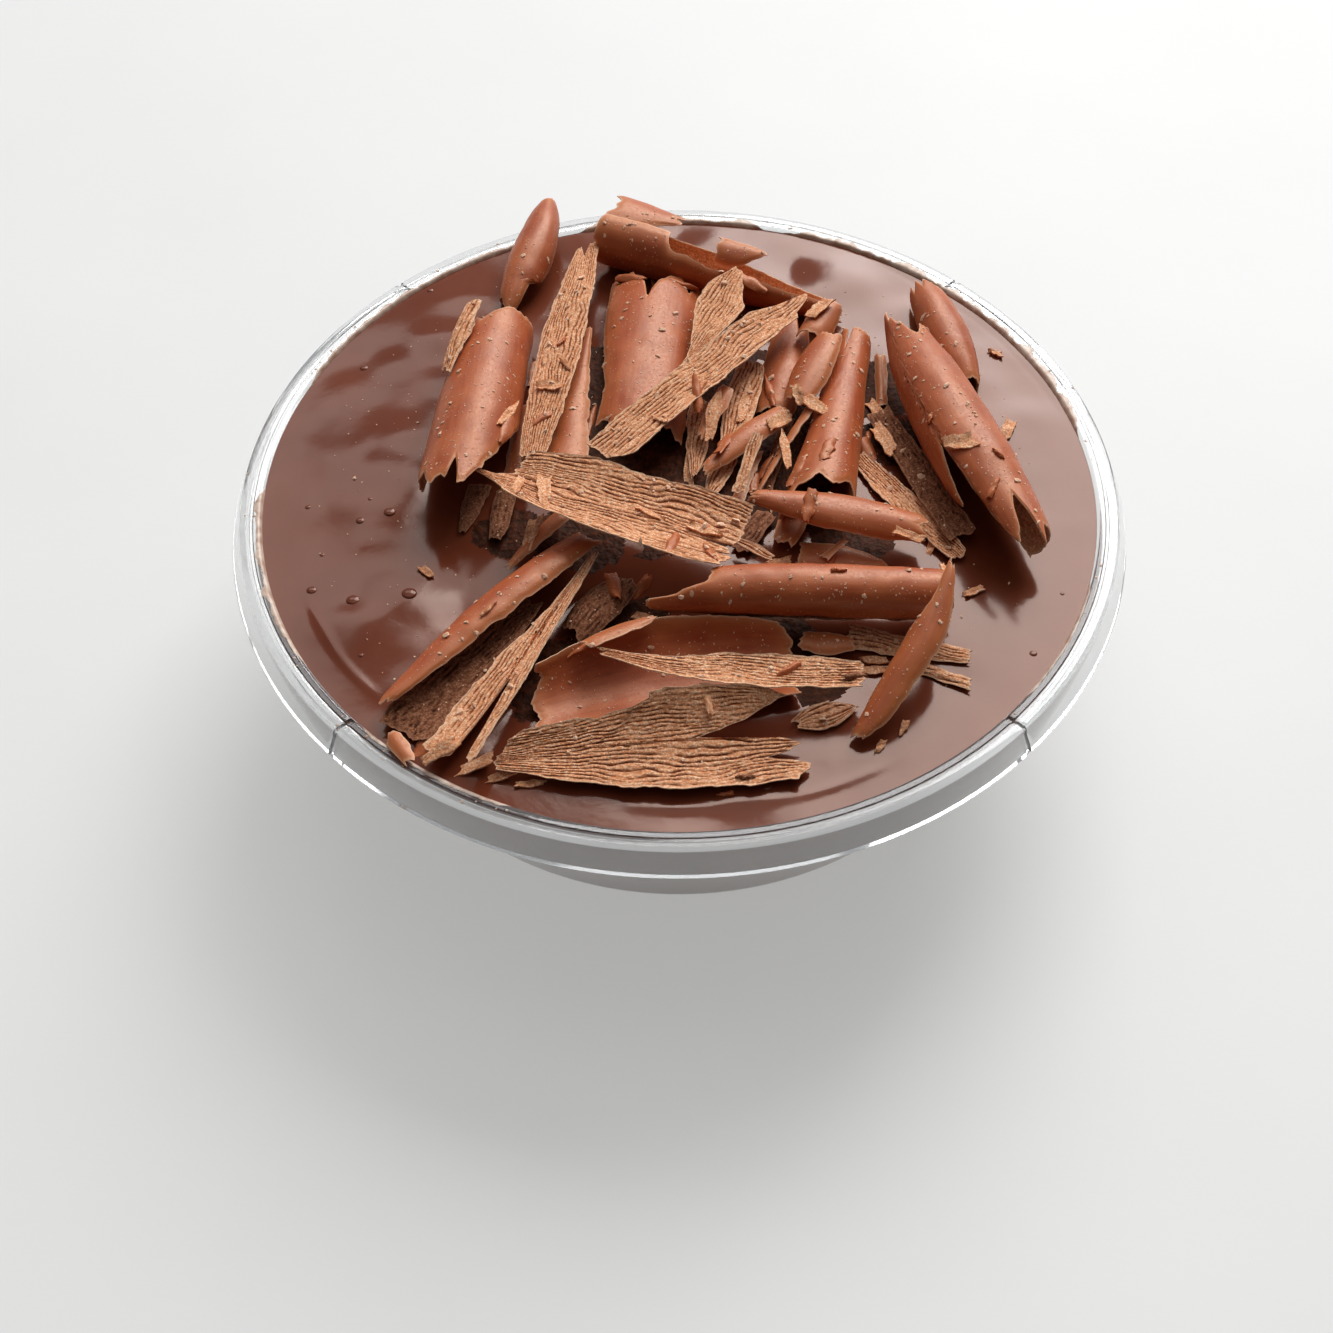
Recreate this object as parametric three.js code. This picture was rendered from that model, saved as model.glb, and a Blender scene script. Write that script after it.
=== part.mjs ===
// A clear plastic dessert cup filled with chocolate sauce, with a heap of
// chocolate curls and shavings on top. Millimetres, +Z up, origin at the
// middle of the cup's base.
import * as THREE from 'three';

// Cup
const CUP_HEIGHT = 36;
const MOUTH_RADIUS = 57;
const FLANGE_RADIUS = 60;
const FLANGE_THICKNESS = 1;
const CORNER_RADIUS = 0.5;
const SKIRT_RADIUS = 61.3;
const SKIRT_DEPTH = 3.7;
const WALL_THICKNESS = 0.9;
const WALL_LEAN = THREE.MathUtils.degToRad(20);
const BASE_ROUNDING = 7;
const ARC_STEPS = 4;
const TURN_STEPS = 40;

// Sauce
const SAUCE_LEVEL = CUP_HEIGHT - 0.8;
const TOUCHING_GAP = 0.3;
const SAUCE_RINGS = 7;
const MOUNDS = [
  { at: [0, 4], radius: 30, height: 1.2 },
  { at: [-34, 14], radius: 11, height: 0.9 },
  { at: [-40, -12], radius: 10, height: -0.5 },
  { at: [34, -24], radius: 12, height: 0.4 },
];

// Curls: the sheet's thickness, the spacing of its laps, and how finely its
// facets and its torn ends are cut. NEAR is a length too small to matter.
const SHEET_THICKNESS = 0.55;
const LAP_SPACING = 1.1;
const FACET_TURN = 32;
const FACET_WIDTH = 3.2;
const FACET_LENGTH = 7;
const TEETH = 4;
const END_SEED = 100;
const REACH_STEPS = 24;
const NEAR = 0.02;

// The curls, in rows from the sauce up: the two ends of the middle line, with
// heights over the sauce's level, how wide the curl stands at its start, middle
// and end, and how far it is rolled and turned, in degrees.
const CURLS = [
  // In the sauce at the left
  {
    name: 'shard_left_low', face: 'dull', from: [-27, -1, 1.5], to: [-29, -9, 1],
    across: [3.5, 3, 1], sweep: 50,
  },
  {
    name: 'shard_left_inner', face: 'dull', from: [-23.5, -2.5, 1.5], to: [-24.5, -11, 1.5],
    across: [3, 3, 2], sweep: 50,
  },
  {
    name: 'curl_stub', face: 'smooth', from: [-21, 14, 2], to: [-22.5, 0, 1.5],
    across: [3, 3.5, 3.5], sweep: 80,
  },

  // The fan at the front left
  {
    name: 'curl_hidden', face: 'dull', from: [-7, -19, 2], to: [-13.5, -28, 2],
    across: [4, 6, 4], sweep: 80, bow: 0.5,
  },
  {
    name: 'shaving_front_low', face: 'ribbed', from: [-33, -43, 1.5], to: [-19, -22, 2],
    across: [8.5, 7, 3.5], sweep: 60, turn: 180, ragged: 1.5,
  },
  {
    name: 'curl_front_left', face: 'smooth', from: [-36, -39.5, 3], to: [-12, -13, 3.5],
    across: [1.5, 5.5, 4.5], sweep: 120, turn: 30, bow: 0.5, sway: 0.5,
  },
  {
    name: 'curl_front_left_top', face: 'smooth', from: [-22.5, -16.5, 2], to: [-15.5, -8, 3],
    across: [1, 2.5, 3], sweep: 90, turn: 20,
  },
  {
    name: 'shaving_front_long', face: 'ribbed', from: [-27, -46.5, 4], to: [-11.5, -16, 4],
    across: [8, 6, 2], sweep: 60, turn: 200, bow: 0.5, ragged: 2,
  },

  // The front
  {
    name: 'curl_lower_middle', face: 'smooth', from: [-18, -40, 3], to: [14, -33, 3],
    across: [7, 11.5, 9.5], sweep: 100, turn: 165, sway: 2, ragged: 1.5,
  },
  {
    name: 'chip_lower_middle', face: 'smooth', from: [-12, -33, 6], to: [-3, -28.5, 6],
    across: [2, 3, 1], sweep: 50, turn: 25,
  },
  {
    name: 'chip_front_right', face: 'smooth', from: [15.5, -29.5, 2.5], to: [22, -30, 2.5],
    across: [3, 3.5, 2], sweep: 60,
  },
  {
    name: 'slat_front_right', face: 'ribbed', from: [21.5, -28, 1.5], to: [37, -31, 1],
    across: [4, 3.5, 2], sweep: 40,
  },
  {
    name: 'slat_front_outer', face: 'ribbed', from: [30, -32.5, 1], to: [36.5, -35.5, 1],
    across: [2, 2, 2], sweep: 40,
  },
  {
    name: 'flake_front_right', face: 'ribbed', from: [14, -41.5, 1], to: [21.5, -39, 1],
    across: [1, 4, 1], sweep: 40, turn: 180,
  },
  {
    name: 'scrap_on_rim', face: 'smooth', from: [-35, -43.5, 1.5], to: [-32.5, -47.5, 1.5],
    across: [2, 2.5, 1.5], sweep: 60,
  },

  // The right
  {
    name: 'shaving_right_inner', face: 'ribbed', from: [24.5, 4.5, 1.5], to: [37, -14.5, 1.5],
    across: [2.5, 4, 3], sweep: 50, turn: 180, ragged: 1.5,
  },
  {
    name: 'shaving_right_outer', face: 'dull', from: [28, 13, 2], to: [37.5, -11.5, 2.5],
    across: [3.5, 4.5, 4], sweep: 60, turn: 180,
  },
  {
    name: 'curl_under_middle', face: 'smooth', from: [16, -13.5, 1.5], to: [27, -16, 1.5],
    across: [4, 4.5, 1.5], sweep: 60,
  },
  {
    name: 'curl_right_back', face: 'smooth', from: [37, 38, 2.5], to: [41.5, 18, 2],
    across: [4.5, 6.5, 3], sweep: 200, turn: 10, bow: 0.5,
  },
  {
    name: 'curl_right_large', face: 'smooth', from: [32.5, 26, 5], to: [45, -16, 6],
    across: [5, 10, 6.5], sweep: 300, turn: 10, bow: 0.5, sway: -1, ragged: 2.5,
  },

  // The back
  {
    name: 'curl_back_long', face: 'smooth', from: [-11, 47.5, 5], to: [24, 32.5, 3],
    across: [7, 6.5, 3], sweep: [330, 285, 260], turn: [210, 222, 215], sway: 0.5,
  },
  {
    name: 'flap_back', face: 'smooth', from: [-9, 52, 7.5], to: [0.5, 49, 6.5],
    across: [5, 4.5, 2], sweep: 60, turn: 20, ragged: 1.5,
  },
  {
    name: 'sliver_back', face: 'smooth', from: [6.5, 44.5, 6.5], to: [13, 42, 6],
    across: [2, 2, 1], sweep: 50,
  },
  {
    name: 'curl_back_cone', face: 'smooth', from: [-24.5, 36.5, 2.5], to: [-20, 57, 4.5],
    across: [4, 7, 2], sweep: 220, turn: 10, bow: 0.5, sway: -0.5,
  },
  {
    name: 'curl_back_middle', face: 'smooth', from: [17.5, 32, 2.5], to: [13.5, 12, 2.5],
    across: [3.5, 6.5, 5.5], sweep: 110, bow: 0.5,
  },
  {
    name: 'curl_back_end', face: 'smooth', from: [22.5, 31, 6], to: [19, 24.5, 5.5],
    across: [3.5, 4.5, 4.5], sweep: 150,
  },

  // The middle
  {
    name: 'shard_centre_a', face: 'ribbed', from: [3.5, 13.5, 3], to: [2, -0.5, 2.5],
    across: [3, 3, 1], sweep: 40, ragged: 1.5,
  },
  {
    name: 'shard_centre_b', face: 'ribbed', from: [10.5, 20.5, 4], to: [6.5, 2, 3],
    across: [2, 3.5, 1], sweep: 40, ragged: 1.5,
  },
  {
    name: 'shard_centre_c', face: 'smooth', from: [7, 14, 5.5], to: [3, 5, 4.5],
    across: [2.5, 2.5, 1], sweep: 60,
  },
  {
    name: 'shard_centre_d', face: 'smooth', from: [14.5, 10, 4.5], to: [3.5, -1, 4],
    across: [3.5, 4, 1.5], sweep: 90, bow: 0.5,
  },
  {
    name: 'shard_centre_e', face: 'ribbed', from: [11, 4.5, 6], to: [8, -4.5, 3.5],
    across: [1.5, 2, 2], sweep: 40, turn: 180,
  },
  {
    name: 'slat_centre_a', face: 'ribbed', from: [12, -6.5, 2], to: [8, -13.5, 2],
    across: [3, 3, 2.5], sweep: 40, turn: 180,
  },
  {
    name: 'slat_centre_b', face: 'smooth', from: [16, -7, 2], to: [14, -12.5, 2.5],
    across: [4, 4, 3], sweep: 50,
  },
  {
    name: 'shard_across_middle', face: 'smooth', from: [22, -13.5, 4], to: [19, -15.5, 2.5],
    across: [1, 1, 1.5], sweep: 40, ragged: 0.5,
  },
  {
    name: 'sliver_centre', face: 'ribbed', from: [7.5, -13, 3.5], to: [12.5, -16, 3],
    across: [1, 1.5, 1], sweep: 40, turn: 180, ragged: 0.5,
  },
  {
    name: 'curl_right_centre', face: 'smooth', from: [26, 27.5, 3.5], to: [19, -6, 5],
    across: [4, 6.5, 9], sweep: 210, ragged: 1.5,
  },
  {
    name: 'curl_right_lobe', face: 'smooth', from: [21.5, 23, 6.5], to: [16.5, 10.5, 6],
    across: [4, 6, 4], sweep: 130, turn: -20,
  },
  {
    name: 'strip_centre_right', face: 'smooth', from: [19, 11, 6], to: [11, -3.5, 3],
    across: [2, 2, 1], sweep: 50, turn: -40, ragged: 0.5,
  },

  // The left and the top
  {
    name: 'curl_left_large', face: 'smooth', from: [-26, 28, 5.5], to: [-29, -6, 6.5],
    across: [9.5, 11, 11.5], sweep: 220, turn: 5, bow: 0.5, ragged: 2,
  },
  {
    name: 'shaving_left_edge', face: 'ribbed', from: [-29, 27, 9.5], to: [-32, 13.5, 9],
    across: [3, 3, 1.5], sweep: 140, turn: -30,
  },
  {
    name: 'curl_wedge', face: 'smooth', from: [-13, 30.5, 2], to: [-15.5, 1.5, 3],
    across: [1, 3.5, 7], sweep: 70, bow: 0.5,
  },
  {
    name: 'curl_broad', face: 'smooth', from: [-3, 38.5, 3], to: [-5.5, 7, 4],
    across: [14, 13.5, 12], sweep: 110, turn: 5, bow: 1, ragged: 2,
  },
  {
    name: 'shaving_triangle', face: 'ribbed', from: [9.5, 36, 7.5], to: [0.5, 18.5, 6.5],
    across: [7, 6, 1], sweep: 30, turn: 180,
  },
  {
    name: 'shaving_left_long', face: 'ribbed', from: [-13.5, 44.5, 6], to: [-20, 0, 5.5],
    across: [1.5, 6, 3.5], sweep: 50, bow: 0.5, ragged: 2,
  },
  {
    name: 'shaving_diagonal', face: 'ribbed', from: [15.5, 28.5, 7.5], to: [-9, 0.5, 7],
    across: [6, 6.5, 6.5], sweep: 40, turn: 180, bow: 0.5,
  },
  {
    name: 'curl_front_roll', face: 'smooth', from: [4, -24, 5.5], to: [34.5, -25, 5.5],
    across: [6, 6.5, 6], sweep: 400, bow: 0.5,
  },
  {
    name: 'shaving_front_broad', face: 'ribbed', from: [-21.5, -47, 2.5], to: [14, -44.5, 3.5],
    across: [3.5, 11.5, 10], sweep: 60, turn: 160, bow: 1, ragged: 3,
  },
  {
    name: 'shaving_front_narrow', face: 'ribbed', from: [-9.5, -35, 7.5], to: [22.5, -37.5, 5.5],
    across: [1, 5.5, 3.5], sweep: 50, turn: 180, sway: -1,
  },
  {
    name: 'curl_across_middle', face: 'smooth', from: [9.5, -8.5, 7], to: [32, -12.5, 5],
    across: [1.5, 6, 4], sweep: 130, bow: 0.5,
  },
  {
    name: 'curl_front_leaning', face: 'smooth', from: [34, -24, 11], to: [22, -44, 1.5],
    across: [0.5, 5, 2.5], sweep: 130, bow: 0.5, sway: 1.5,
  },
  {
    name: 'shaving_centre_broad', face: 'ribbed', from: [-22.5, -5.5, 9], to: [7.5, -16.5, 8],
    across: [3.5, 13, 11], sweep: 60, turn: 180, bow: 0.5, ragged: 3,
  },

  // Small ones low in the middle
  {
    name: 'shard_centre_f', face: 'ribbed', from: [7.5, 5, 2], to: [4, -4, 2.5],
    across: [2.5, 3, 1.5], sweep: 40,
  },
  {
    name: 'shard_centre_g', face: 'smooth', from: [11, 5.5, 1.5], to: [8, -4.5, 1.5],
    across: [2, 2, 2], sweep: 50,
  },
  {
    name: 'shard_centre_h', face: 'dull', from: [15.5, 11, 2], to: [11.5, -4, 2],
    across: [2.5, 3, 2], sweep: 40, turn: -30,
  },
  {
    name: 'curl_right_small', face: 'smooth', from: [29.5, 25.5, 1], to: [29, 14.5, 1],
    across: [1.5, 2, 1.5], sweep: 90,
  },
];

function material(colour, roughness, opacity = 1) {
  return new THREE.MeshStandardMaterial({
    color: new THREE.Color(...colour),
    roughness,
    metalness: 0,
    opacity,
    transparent: opacity < 1,
  });
}

const MATERIALS = {
  clear: material([0.92, 0.94, 0.95], 0.08, 0.35),
  sauce: material([0.12, 0.045, 0.03], 0.15),
  smooth: material([0.36, 0.15, 0.08], 0.4),
  ribbed: material([0.46, 0.26, 0.16], 0.85),
  dull: material([0.27, 0.13, 0.08], 0.7),
};

function named(name, geometry, look) {
  const mesh = new THREE.Mesh(geometry, MATERIALS[look]);
  mesh.name = name;
  return mesh;
}

// --- Cup and sauce -------------------------------------------------------

// The bowl's section from the axis up to a height: a flat floor, a round
// corner and a leaning wall, moved out from the inner face by an offset.
function bowlSection(offset, height) {
  const rounding = BASE_ROUNDING + offset;
  const centreHeight = WALL_THICKNESS + BASE_ROUNDING;
  const wallRise = CUP_HEIGHT - centreHeight + BASE_ROUNDING * Math.sin(WALL_LEAN);
  const centreRadius =
    MOUTH_RADIUS - BASE_ROUNDING * Math.cos(WALL_LEAN) - wallRise * Math.tan(WALL_LEAN);
  const points = [new THREE.Vector2(0, centreHeight - rounding)];
  for (let i = 0; i <= ARC_STEPS; i++) {
    const angle = -Math.PI / 2 + (i / ARC_STEPS) * (Math.PI / 2 - WALL_LEAN);
    const radius = centreRadius + rounding * Math.cos(angle);
    points.push(new THREE.Vector2(radius, centreHeight + rounding * Math.sin(angle)));
  }
  const last = points[points.length - 1];
  const topRadius = last.x + (height - last.y) * Math.tan(WALL_LEAN);
  points.push(new THREE.Vector2(topRadius, height));
  return points;
}

function turned(points) {
  const geometry = new THREE.LatheGeometry(points, TURN_STEPS);
  geometry.deleteAttribute('normal');
  geometry.deleteAttribute('uv');
  return geometry.rotateX(Math.PI / 2);
}

// The cup in one piece: the bowl, its flat flange and the skirt that turns
// down round the flange.
function cup() {
  const underside = CUP_HEIGHT - FLANGE_THICKNESS;
  const skirtEnd = CUP_HEIGHT - SKIRT_DEPTH;
  const section = [
    ...bowlSection(WALL_THICKNESS, underside),
    new THREE.Vector2(FLANGE_RADIUS - WALL_THICKNESS, underside),
    new THREE.Vector2(SKIRT_RADIUS - WALL_THICKNESS, skirtEnd),
    new THREE.Vector2(SKIRT_RADIUS, skirtEnd),
    new THREE.Vector2(FLANGE_RADIUS, CUP_HEIGHT - CORNER_RADIUS),
    new THREE.Vector2(FLANGE_RADIUS - CORNER_RADIUS, CUP_HEIGHT),
    ...bowlSection(0, CUP_HEIGHT).reverse(),
  ];
  return named('cup', turned(section), 'clear');
}

// How far the sauce stands over its level at a place.
function sauceRelief(x, y) {
  let rise = 0;
  for (const { at, radius, height } of MOUNDS) {
    const distance = Math.hypot(x - at[0], y - at[1]) / radius;
    rise += height * Math.exp(-distance * distance);
  }
  const edge = Math.hypot(x, y) / MOUTH_RADIUS;
  return rise * Math.max(0, 1 - edge ** 6);
}

function sauce() {
  const section = bowlSection(-TOUCHING_GAP, SAUCE_LEVEL);
  const edge = section[section.length - 1].x;
  for (let ring = SAUCE_RINGS - 1; ring >= 0; ring--) {
    section.push(new THREE.Vector2((edge * ring) / SAUCE_RINGS, SAUCE_LEVEL));
  }
  const geometry = turned(section);
  const at = geometry.attributes.position;
  for (let i = 0; i < at.count; i++) {
    if (at.getZ(i) > SAUCE_LEVEL - NEAR) {
      at.setZ(i, SAUCE_LEVEL + sauceRelief(at.getX(i), at.getY(i)));
    }
  }
  return named('sauce', geometry, 'sauce');
}

// --- Curls ---------------------------------------------------------------

// A fixed scatter of numbers from 0 to 1.
function scatter(seed, n) {
  const wave = Math.sin(seed * 78.233 + n * 12.9898) * 43758.5453;
  return wave - Math.floor(wave);
}

// The torn edge across a curl's end: long teeth of different depth, from -0.5
// to 0.5.
function tornEdge(seed, across) {
  const place = across * TEETH;
  const tooth = Math.min(Math.floor(place), TEETH - 1);
  const before = scatter(seed, tooth);
  const after = scatter(seed, tooth + 1);
  return before + (after - before) * (place - tooth) - 0.5;
}

// A value along the curl: one number, or three for its start, middle and end.
function along(value, t) {
  if (typeof value === 'number') {
    return value;
  }
  const [start, middle, end] = value;
  return start * (1 - t) * (1 - 2 * t) + 4 * middle * t * (1 - t) + end * t * (2 * t - 1);
}

// A sheet rolled round the line between its two ends. Its bulge faces up where
// turn is 0, and its hollow where turn is 180.
class Curl {
  constructor(spec, seed) {
    Object.assign(this, { turn: 0, bow: 0, sway: 0, ragged: 1 }, spec);
    this.seed = seed;
    this.start = new THREE.Vector3(...this.from);
    this.run = new THREE.Vector3(...this.to).sub(this.start);
    this.length = Math.hypot(this.run.x, this.run.y);
    this.aside = new THREE.Vector3(-this.run.y, this.run.x, 0).divideScalar(this.length);
    this.steps = Math.max(2, Math.round(this.length / FACET_LENGTH));
    const sweep = along(this.sweep, 0.5);
    const width = this.radius(0.5) * THREE.MathUtils.degToRad(sweep);
    this.strips = Math.ceil(Math.max(2, sweep / FACET_TURN, width / FACET_WIDTH));
  }

  radius(t) {
    const half = THREE.MathUtils.degToRad(Math.min(along(this.sweep, t), 180) / 2);
    return along(this.across, t) / 2 / Math.sin(half);
  }

  // The rolled section: how far aside and how far up a point of the sheet is.
  arc(t, v) {
    const sweep = THREE.MathUtils.degToRad(along(this.sweep, t));
    const angle = THREE.MathUtils.degToRad(along(this.turn, t)) + (v - 0.5) * sweep;
    const radius = this.radius(t) + (LAP_SPACING * (v - 0.5) * sweep) / (2 * Math.PI);
    return [radius * Math.sin(angle), radius * Math.cos(angle)];
  }

  // The middle of the section's reach to the sides, and up and down.
  arcMiddle(t) {
    const reach = new THREE.Box2();
    for (let i = 0; i <= REACH_STEPS; i++) {
      reach.expandByPoint(new THREE.Vector2(...this.arc(t, i / REACH_STEPS)));
    }
    return reach.getCenter(new THREE.Vector2()).toArray();
  }

  point(u, v) {
    const first = (tornEdge(this.seed, v) * this.ragged) / this.length;
    const last = 1 + (tornEdge(this.seed + END_SEED, v) * this.ragged) / this.length;
    const t = first + (last - first) * u;
    const arch = 4 * t * (1 - t);
    const [aside, up] = this.arc(t, v);
    const [middleAside, middleUp] = this.arcMiddle(t);
    return this.start
      .clone()
      .addScaledVector(this.run, t)
      .addScaledVector(this.aside, aside - middleAside + this.sway * arch)
      .add(new THREE.Vector3(0, 0, up - middleUp + this.bow * arch));
  }

  normal(u, v) {
    const lengthwise = this.point(u + NEAR, v).sub(this.point(u - NEAR, v));
    const crosswise = this.point(u, v + NEAR).sub(this.point(u, v - NEAR));
    return lengthwise.cross(crosswise).normalize();
  }

  // A closed shell: the sheet's two faces, joined round their edge.
  shell() {
    const positions = [];
    for (const side of [1, -1]) {
      for (let i = 0; i <= this.steps; i++) {
        for (let j = 0; j <= this.strips; j++) {
          const [u, v] = [i / this.steps, j / this.strips];
          const shift = this.normal(u, v).multiplyScalar((side * SHEET_THICKNESS) / 2);
          positions.push(...this.point(u, v).add(shift).toArray());
        }
      }
    }
    const geometry = new THREE.BufferGeometry();
    geometry.setAttribute('position', new THREE.Float32BufferAttribute(positions, 3));
    geometry.setIndex(shellTriangles(this.steps, this.strips));
    return geometry;
  }
}

function shellTriangles(steps, strips) {
  const row = strips + 1;
  const face = (steps + 1) * row;
  const triangles = [];
  for (let i = 0; i < steps; i++) {
    for (let j = 0; j < strips; j++) {
      const corner = i * row + j;
      const [a, b, c, d] = [corner, corner + 1, corner + row + 1, corner + row];
      triangles.push(a, c, b, a, d, c);
      triangles.push(face + a, face + b, face + c, face + a, face + c, face + d);
    }
  }
  const join = (p, q) => triangles.push(p, face + p, face + q, p, face + q, q);
  for (let i = 0; i < steps; i++) {
    join(i * row, (i + 1) * row);
    join((i + 1) * row + strips, i * row + strips);
  }
  for (let j = 0; j < strips; j++) {
    join(j + 1, j);
    join(steps * row + j, steps * row + j + 1);
  }
  return triangles;
}

function heap() {
  return CURLS.map((spec, i) => {
    const curl = new Curl(spec, i + 1);
    return named(spec.name, curl.shell().translate(0, 0, SAUCE_LEVEL), spec.face);
  });
}

const dessert = new THREE.Group();
dessert.add(cup(), sauce(), ...heap());

export default dessert;
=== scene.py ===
"""The looks of a clear plastic dessert cup of chocolate sauce with a heap of
chocolate curls. The curls follow the same rolled-sheet formula as the solids,
with finer tears, ribs and edges. Sizes are in millimetres unless they say
otherwise, and each mesh is turned into metres where it is made."""

import math

import bmesh
import bpy
import numpy as np
from mathutils import Matrix, Vector
from mathutils.bvhtree import BVHTree


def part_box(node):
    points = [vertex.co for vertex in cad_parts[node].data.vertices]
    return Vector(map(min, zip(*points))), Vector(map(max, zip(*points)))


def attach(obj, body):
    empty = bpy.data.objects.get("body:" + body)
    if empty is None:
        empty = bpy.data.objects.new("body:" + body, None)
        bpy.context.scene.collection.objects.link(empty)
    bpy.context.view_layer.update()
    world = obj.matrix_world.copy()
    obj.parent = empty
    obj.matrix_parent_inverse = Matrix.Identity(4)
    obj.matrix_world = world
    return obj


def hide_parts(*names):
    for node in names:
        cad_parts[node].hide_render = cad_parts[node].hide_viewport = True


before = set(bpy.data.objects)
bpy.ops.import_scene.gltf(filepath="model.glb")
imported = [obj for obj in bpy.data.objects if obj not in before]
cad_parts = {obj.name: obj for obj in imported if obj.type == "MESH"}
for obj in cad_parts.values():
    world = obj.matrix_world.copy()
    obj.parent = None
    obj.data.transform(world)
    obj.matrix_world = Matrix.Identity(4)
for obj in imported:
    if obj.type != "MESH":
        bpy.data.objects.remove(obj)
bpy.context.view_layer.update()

MM = 0.001

# Cup. Its mesh has a point at each step, in degrees, and more at the notches.
CUP_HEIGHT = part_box("cup")[1].z / MM
SKIRT_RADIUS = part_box("cup")[1].x / MM
MOUTH_RADIUS = 57
FLANGE_RADIUS = 60
FLANGE_THICKNESS = 1
CORNER_RADIUS = 0.5
SKIRT_DEPTH = 3.7
WALL_THICKNESS = 0.9
WALL_LEAN = math.radians(20)
BASE_ROUNDING = 7
ROUNDING_STEPS = 12
GROOVE_DEPTH = 0.12
NOTCH_ANGLES = (45, 135, 225, 315)
NOTCH_WIDTH = 0.9
NOTCH_DEPTH = 0.4
CUP_STEP = 2.0

# Sauce: its level in the solids, how much higher the visible one stands so that
# the lowest curls lie in it, how far it reaches into the cup's wall, and the
# rings and degrees between the points of its mesh.
SAUCE_LEVEL = CUP_HEIGHT - 0.8
SAUCE_LIFT = 0.3
INTO_WALL = 0.06
SAUCE_RINGS = 170
SAUCE_STEP = 1.2
AXIS_GAP = 0.01
LEVEL_SLACK = 0.001

# Its mounds and dips: x and y of the middle, radius, height.
MOUNDS = [
    (0, 4, 30, 1.2), (-41, 3, 11, 0.8), (-33, 26, 8, 0.5), (-34, 40, 7, 0.4),
    (-38, -22, 8, 0.4), (34, -24, 12, 0.4), (27, 44, 5, 0.6), (16, 49, 4, -0.35),
    (37, 35, 3, 0.3), (51, 12, 5, 0.3), (49, -4, 4, -0.25), (44, 20, 3, 0.3),
    (8, -51, 4, 0.3),
]

# Grooves in the sauce along the wall, ridges where the depth is negative: from
# and to which angle, in degrees, the radius, the depth and half the width.
CHANNELS = [
    (12, 58, 55.6, 0.16, 0.45),
    (202, 226, 52.5, -0.2, 0.6),
    (262, 300, 53.5, -0.12, 0.7),
]

# Where the sauce lies under the heap, rough and darkened with painted shade: x and y, radius.
HEAP_SHADE_SPOTS = [
    (2, 8, 22), (23, -10, 6), (17, -35, 4), (-13, -9.5, 7), (-12, 22, 7), (28, 18, 7),
    (30, 8, 5), (-6, -27, 6), (-17, -34, 7), (10, -28, 8), (-23, -9, 5),
]

# Sheets of chocolate. A lap is one turn of a roll, the reaches are how far from
# an edge the sheet looks worn, and how far in from it the painted glow of light
# shining through the thin edge spreads, and the steps are the sizes of the
# mesh's faces, along and across the sheet.
SHEET_THICKNESS = 0.45
EDGE_THICKNESS = 0.14
EDGE_TAPER = 0.9
LAP_SPACING = 1.1
TEETH = 4
END_SEED = 100
SIDE_SEED = 50
RIB_SPACING = 0.55
RIB_DEPTH = 0.26
PLAIN_RIDGE = 0.55
RIM_REACH = 0.22
THIN_REACH = 1.5
FINE_STEP = (0.3, 0.1)
PLAIN_STEP = (0.4, 0.3)


def curl(name, face, start, end, across, sweep, **own):
    """One row of the list: what every curl states, and what only some have."""
    usual = dict(turn=0, bow=0, sway=0, ragged=1, rib=RIB_SPACING, polished="outside",
                 head={}, tail={}, low={}, high={}, tears=())
    given = dict(name=name, face=face, start=start, end=end, across=across, sweep=sweep)
    return {**usual, **given, **own}
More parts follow.
